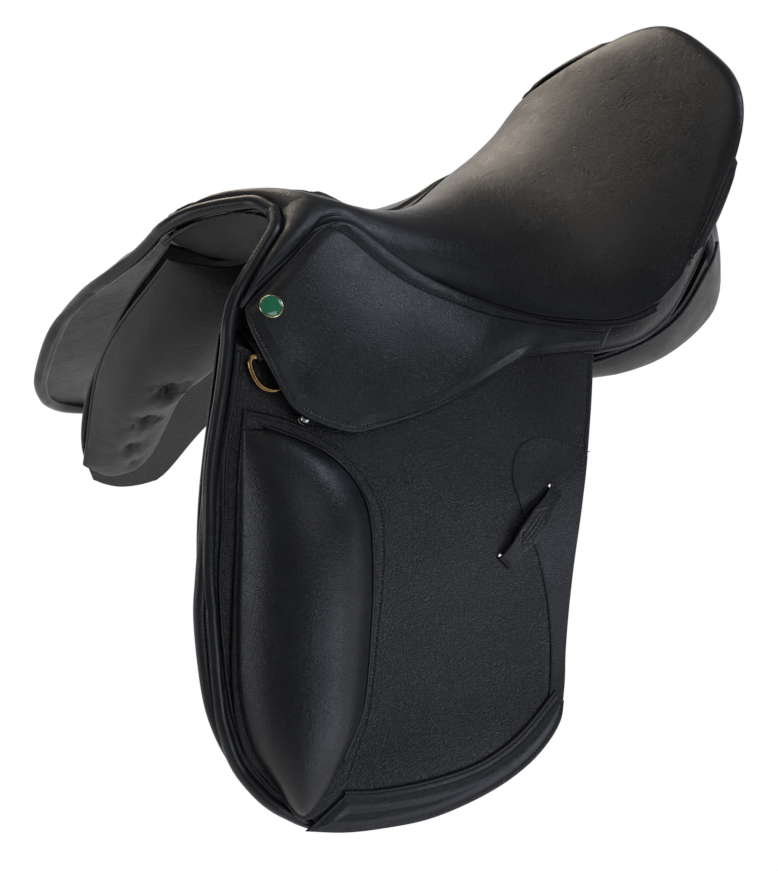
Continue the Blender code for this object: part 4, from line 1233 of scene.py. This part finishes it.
class SADDLE_OT_stitches(bpy.types.Operator):
    """Every row of stitches, set along the seams by Geometry Nodes"""
    bl_idname = "saddle.stitches"
    bl_label = "Stitching"

    def execute(self, context):
        tree = stitch_nodes()
        points, edges, out, slant = [], [], [], []
        for line, way, lean in SEAMS:
            first = len(points)
            points += (line * MM).tolist()
            out += np.asarray(way).tolist()
            slant += [lean] * len(line)
            edges += [(first + k, first + k + 1) for k in range(len(line) - 1)]
        mesh = bpy.data.meshes.new("seams")
        mesh.from_pydata(points, edges, [])
        ways = mesh.attributes.new("way_out", "FLOAT_VECTOR", "POINT")
        ways.data.foreach_set("vector", np.asarray(out, np.float32).ravel())
        leans = mesh.attributes.new("lean", "FLOAT", "POINT")
        leans.data.foreach_set("value", np.asarray(slant, np.float32))
        thing = laid_out("seams", mesh)
        step = thing.modifiers.new("Stitches", "NODES")
        step.node_group = tree
        sizes = context.scene.saddle_sizes
        values = {"Pitch": sizes.stitch_pitch * MM, "Length": sizes.stitch_length * MM,
                  "Width": sizes.thread_width * MM, "Thread": MADE["thread"]}
        for item in tree.interface.items_tree:
            if item.in_out == "INPUT" and item.name in values:
                step[item.identifier] = values[item.name]
        graph = bpy.context.evaluated_depsgraph_get()
        sewn = bpy.data.meshes.new_from_object(thing.evaluated_get(graph))
        bpy.data.objects.remove(thing, do_unlink=True)
        sewn.name = "stitching_left"
        left = laid_out("stitching_left", sewn)
        sewn.shade_smooth()
        both(left, "smooth_leather")
        return {"FINISHED"}


def stitch_nodes():
    """A node tree that lays one stitch after another along every seam."""
    tree = bpy.data.node_groups.new("Saddle stitches", "GeometryNodeTree")
    face = tree.interface
    face.new_socket("Geometry", in_out="INPUT", socket_type="NodeSocketGeometry")
    for name in ("Pitch", "Length", "Width"):
        face.new_socket(name, in_out="INPUT", socket_type="NodeSocketFloat")
    face.new_socket("Thread", in_out="INPUT", socket_type="NodeSocketMaterial")
    face.new_socket("Geometry", in_out="OUTPUT", socket_type="NodeSocketGeometry")
    given = add(tree, "NodeGroupInput").outputs
    line = add(tree, "GeometryNodeMeshToCurve", links={"Mesh": given["Geometry"]})
    spaced = add(tree, "GeometryNodeResampleCurve", mode="LENGTH",
                 links={"Curve": line.outputs[0], "Length": given["Pitch"]})
    bead = add(tree, "GeometryNodeMeshUVSphere", {"Segments": 6, "Rings": 4, "Radius": 0.5})
    run = add(tree, "GeometryNodeInputTangent")
    way = add(tree, "GeometryNodeInputNamedAttribute", {"Name": "way_out"},
              data_type="FLOAT_VECTOR")
    lean = add(tree, "GeometryNodeInputNamedAttribute", {"Name": "lean"}, data_type="FLOAT")
    first = add(tree, "FunctionNodeAlignRotationToVector", links={"Vector": run.outputs[0]}, axis="X")
    second = add(tree, "FunctionNodeAlignRotationToVector", axis="Z", pivot_axis="X",
                 links={"Rotation": first.outputs[0], "Vector": way.outputs[0]})
    turn = add(tree, "FunctionNodeAxisAngleToRotation", {"Axis": (0, 0, 1)},
               {"Angle": lean.outputs[0]})
    slanted = add(tree, "FunctionNodeRotateRotation", rotation_space="LOCAL",
                  links={"Rotation": second.outputs[0], "Rotate By": turn.outputs[0]})
    size = add(tree, "ShaderNodeCombineXYZ",
               links={"X": given["Length"], "Y": given["Width"], "Z": given["Width"]})
    laid = add(tree, "GeometryNodeInstanceOnPoints",
               links={"Points": spaced.outputs[0], "Instance": bead.outputs["Mesh"],
                      "Rotation": slanted.outputs[0], "Scale": size.outputs[0]})
    real = add(tree, "GeometryNodeRealizeInstances", links={"Geometry": laid.outputs[0]})
    done = add(tree, "GeometryNodeSetMaterial",
               links={"Geometry": real.outputs[0], "Material": given["Thread"]})
    add(tree, "NodeGroupOutput", links={"Geometry": done.outputs[0]})
    return tree


class SADDLE_OT_stage(bpy.types.Operator):
    """Camera, soft studio lamps and the white floor"""
    bl_idname = "saddle.stage"
    bl_label = "Stage"

    def execute(self, context):
        scene = context.scene
        scene.view_settings.view_transform = "Standard"
        lens = bpy.data.cameras.new("camera")
        lens.lens = 85.5568
        lens.sensor_width = 36.0
        lens.shift_x = -27.59 / PICTURE_HEIGHT
        lens.shift_y = -145.324 / PICTURE_HEIGHT
        camera = bpy.data.objects.new("camera", lens)
        camera.location = (1.344441568, -0.686923399, 1.009531226)
        way = Vector((-0.7469119822, 0.3482907773, -0.5664062369))
        camera.rotation_euler = way.to_track_quat("-Z", "Y").to_euler()
        scene.collection.objects.link(camera)
        scene.camera = camera

        self.lamp("far warm softbox", (-2.0, 0.05, 0.5), (0, 0.1, 0.05), 1.1, 0.9, 16.0, "#fff0dd")
        self.lamp("overhead softbox", (-0.9, -0.5, 1.9), (0, 0.1, 0.0), 1.2, 1.2, 6.0, "#fff6ea")
        self.lamp("rear cool strip", (0.1, 1.75, 1.2), (0.05, 0.1, 0.1), 0.7, 1.3, 15.0, "#e2ebff")
        self.lamp("near low softbox", (1.95, 0.7, -0.3), (0, -0.1, -0.1), 1.2, 1.0, 12.0, "#e6ecff")
        self.lamp("near high softbox", (1.6, 0.3, 1.5), (0, 0, -0.05), 1.0, 1.0, 6.0, "#f4f7ff")
        self.lamp("front softbox", (-0.1, -2.2, 0.35), (0, -0.1, -0.1), 0.8, 1.3, 12.0, "#f4f7ff")

        made, tree, shader = new_material(
            "white studio floor", {"Base Color": (0.9, 0.9, 0.9, 1), "Roughness": 0.9})
        self.see_white(tree, shader.outputs["BSDF"])
        bpy.ops.mesh.primitive_plane_add(size=14, location=(0, 0, -0.95))
        floor = context.object
        floor.name = "studio_floor"
        floor.data.materials.append(made)

        world = bpy.data.worlds.new("studio world")
        world.use_nodes = True
        scene.world = world
        tree = world.node_tree
        tree.nodes.clear()
        # White where it is looked at, a soft grey room to the leather and the metal
        ray = add(tree, "ShaderNodeLightPath")
        seen = add(tree, "ShaderNodeMath", operation="MAXIMUM",
                   links={0: ray.outputs["Is Camera Ray"], 1: ray.outputs["Is Transmission Ray"]})
        shine = add(tree, "ShaderNodeMath", {1: ROOM_SHINE}, {0: ray.outputs["Is Glossy Ray"]},
                    operation="MULTIPLY")
        either = add(tree, "ShaderNodeMath", operation="MAXIMUM",
                     links={0: seen.outputs[0], 1: shine.outputs[0]})
        strength = add(tree, "ShaderNodeMath", {1: ROOM_LIGHT}, {0: either.outputs[0]},
                       operation="MAXIMUM")
        soft = add(tree, "ShaderNodeBackground", {"Color": (1, 1, 1, 1)},
                   {"Strength": strength.outputs[0]})
        add(tree, "ShaderNodeOutputWorld", links={"Surface": soft.outputs[0]})
        return {"FINISHED"}

    def lamp(self, name, where, target, width, height, power, colour):
        data = bpy.data.lights.new(name, "AREA")
        data.shape = "RECTANGLE"
        data.size = width
        data.size_y = height
        data.energy = power
        data.color = linear(colour)
        lamp = bpy.data.objects.new(name, data)
        lamp.location = where
        lamp.rotation_euler = (Vector(target) - Vector(where)).to_track_quat("-Z", "Y").to_euler()
        bpy.context.scene.collection.objects.link(lamp)

    def see_white(self, tree, surface):
        """The floor is plain white where it is seen, and matt to the light that it throws back."""
        out = next(n for n in tree.nodes if n.type == "OUTPUT_MATERIAL")
        ray = add(tree, "ShaderNodeLightPath")
        seen = add(tree, "ShaderNodeMath", operation="MAXIMUM",
                   links={0: ray.outputs["Is Camera Ray"], 1: ray.outputs["Is Glossy Ray"]})
        through = add(tree, "ShaderNodeMath", operation="MAXIMUM",
                      links={0: seen.outputs[0], 1: ray.outputs["Is Transmission Ray"]})
        glow = add(tree, "ShaderNodeEmission", {"Color": (1, 1, 1, 1), "Strength": 1.0})
        mix = add(tree, "ShaderNodeMixShader",
                  links={0: through.outputs[0], 1: surface, 2: glow.outputs[0]})
        tree.links.new(mix.outputs[0], out.inputs["Surface"])


STEPS = (SADDLE_OT_seat, SADDLE_OT_tree, SADDLE_OT_pommel, SADDLE_OT_panels, SADDLE_OT_flaps,
         SADDLE_OT_blocks, SADDLE_OT_skirts, SADDLE_OT_cantle, SADDLE_OT_keepers,
         SADDLE_OT_fittings, SADDLE_OT_straps, SADDLE_OT_stitches, SADDLE_OT_stage)


class SADDLE_PT_parts(bpy.types.Panel):
    """Lists the saddle's sizes, colours and pieces"""
    bl_idname = "SADDLE_PT_parts"
    bl_label = "Saddle"
    bl_space_type = "VIEW_3D"
    bl_region_type = "UI"
    bl_category = "Saddle"

    def draw(self, context):
        for group in (context.scene.saddle_sizes, context.scene.saddle_colours):
            for name in group.bl_rna.properties.keys():
                if name not in ("rna_type", "name"):
                    self.layout.prop(group, name)
        for step in STEPS:
            self.layout.operator(step.bl_idname)


CLASSES = (SaddleSizes, SaddleColours, *STEPS, SADDLE_PT_parts)


def register():
    for item in CLASSES:
        bpy.utils.register_class(item)
    bpy.types.Scene.saddle_sizes = PointerProperty(type=SaddleSizes)
    bpy.types.Scene.saddle_colours = PointerProperty(type=SaddleColours)


def unregister():
    del bpy.types.Scene.saddle_sizes
    del bpy.types.Scene.saddle_colours
    for item in reversed(CLASSES):
        bpy.utils.unregister_class(item)


def main():
    register()
    make_materials()
    for step in STEPS:
        group, name = step.bl_idname.split(".")
        getattr(getattr(bpy.ops, group), name)()


if __name__ == "__main__":
    main()
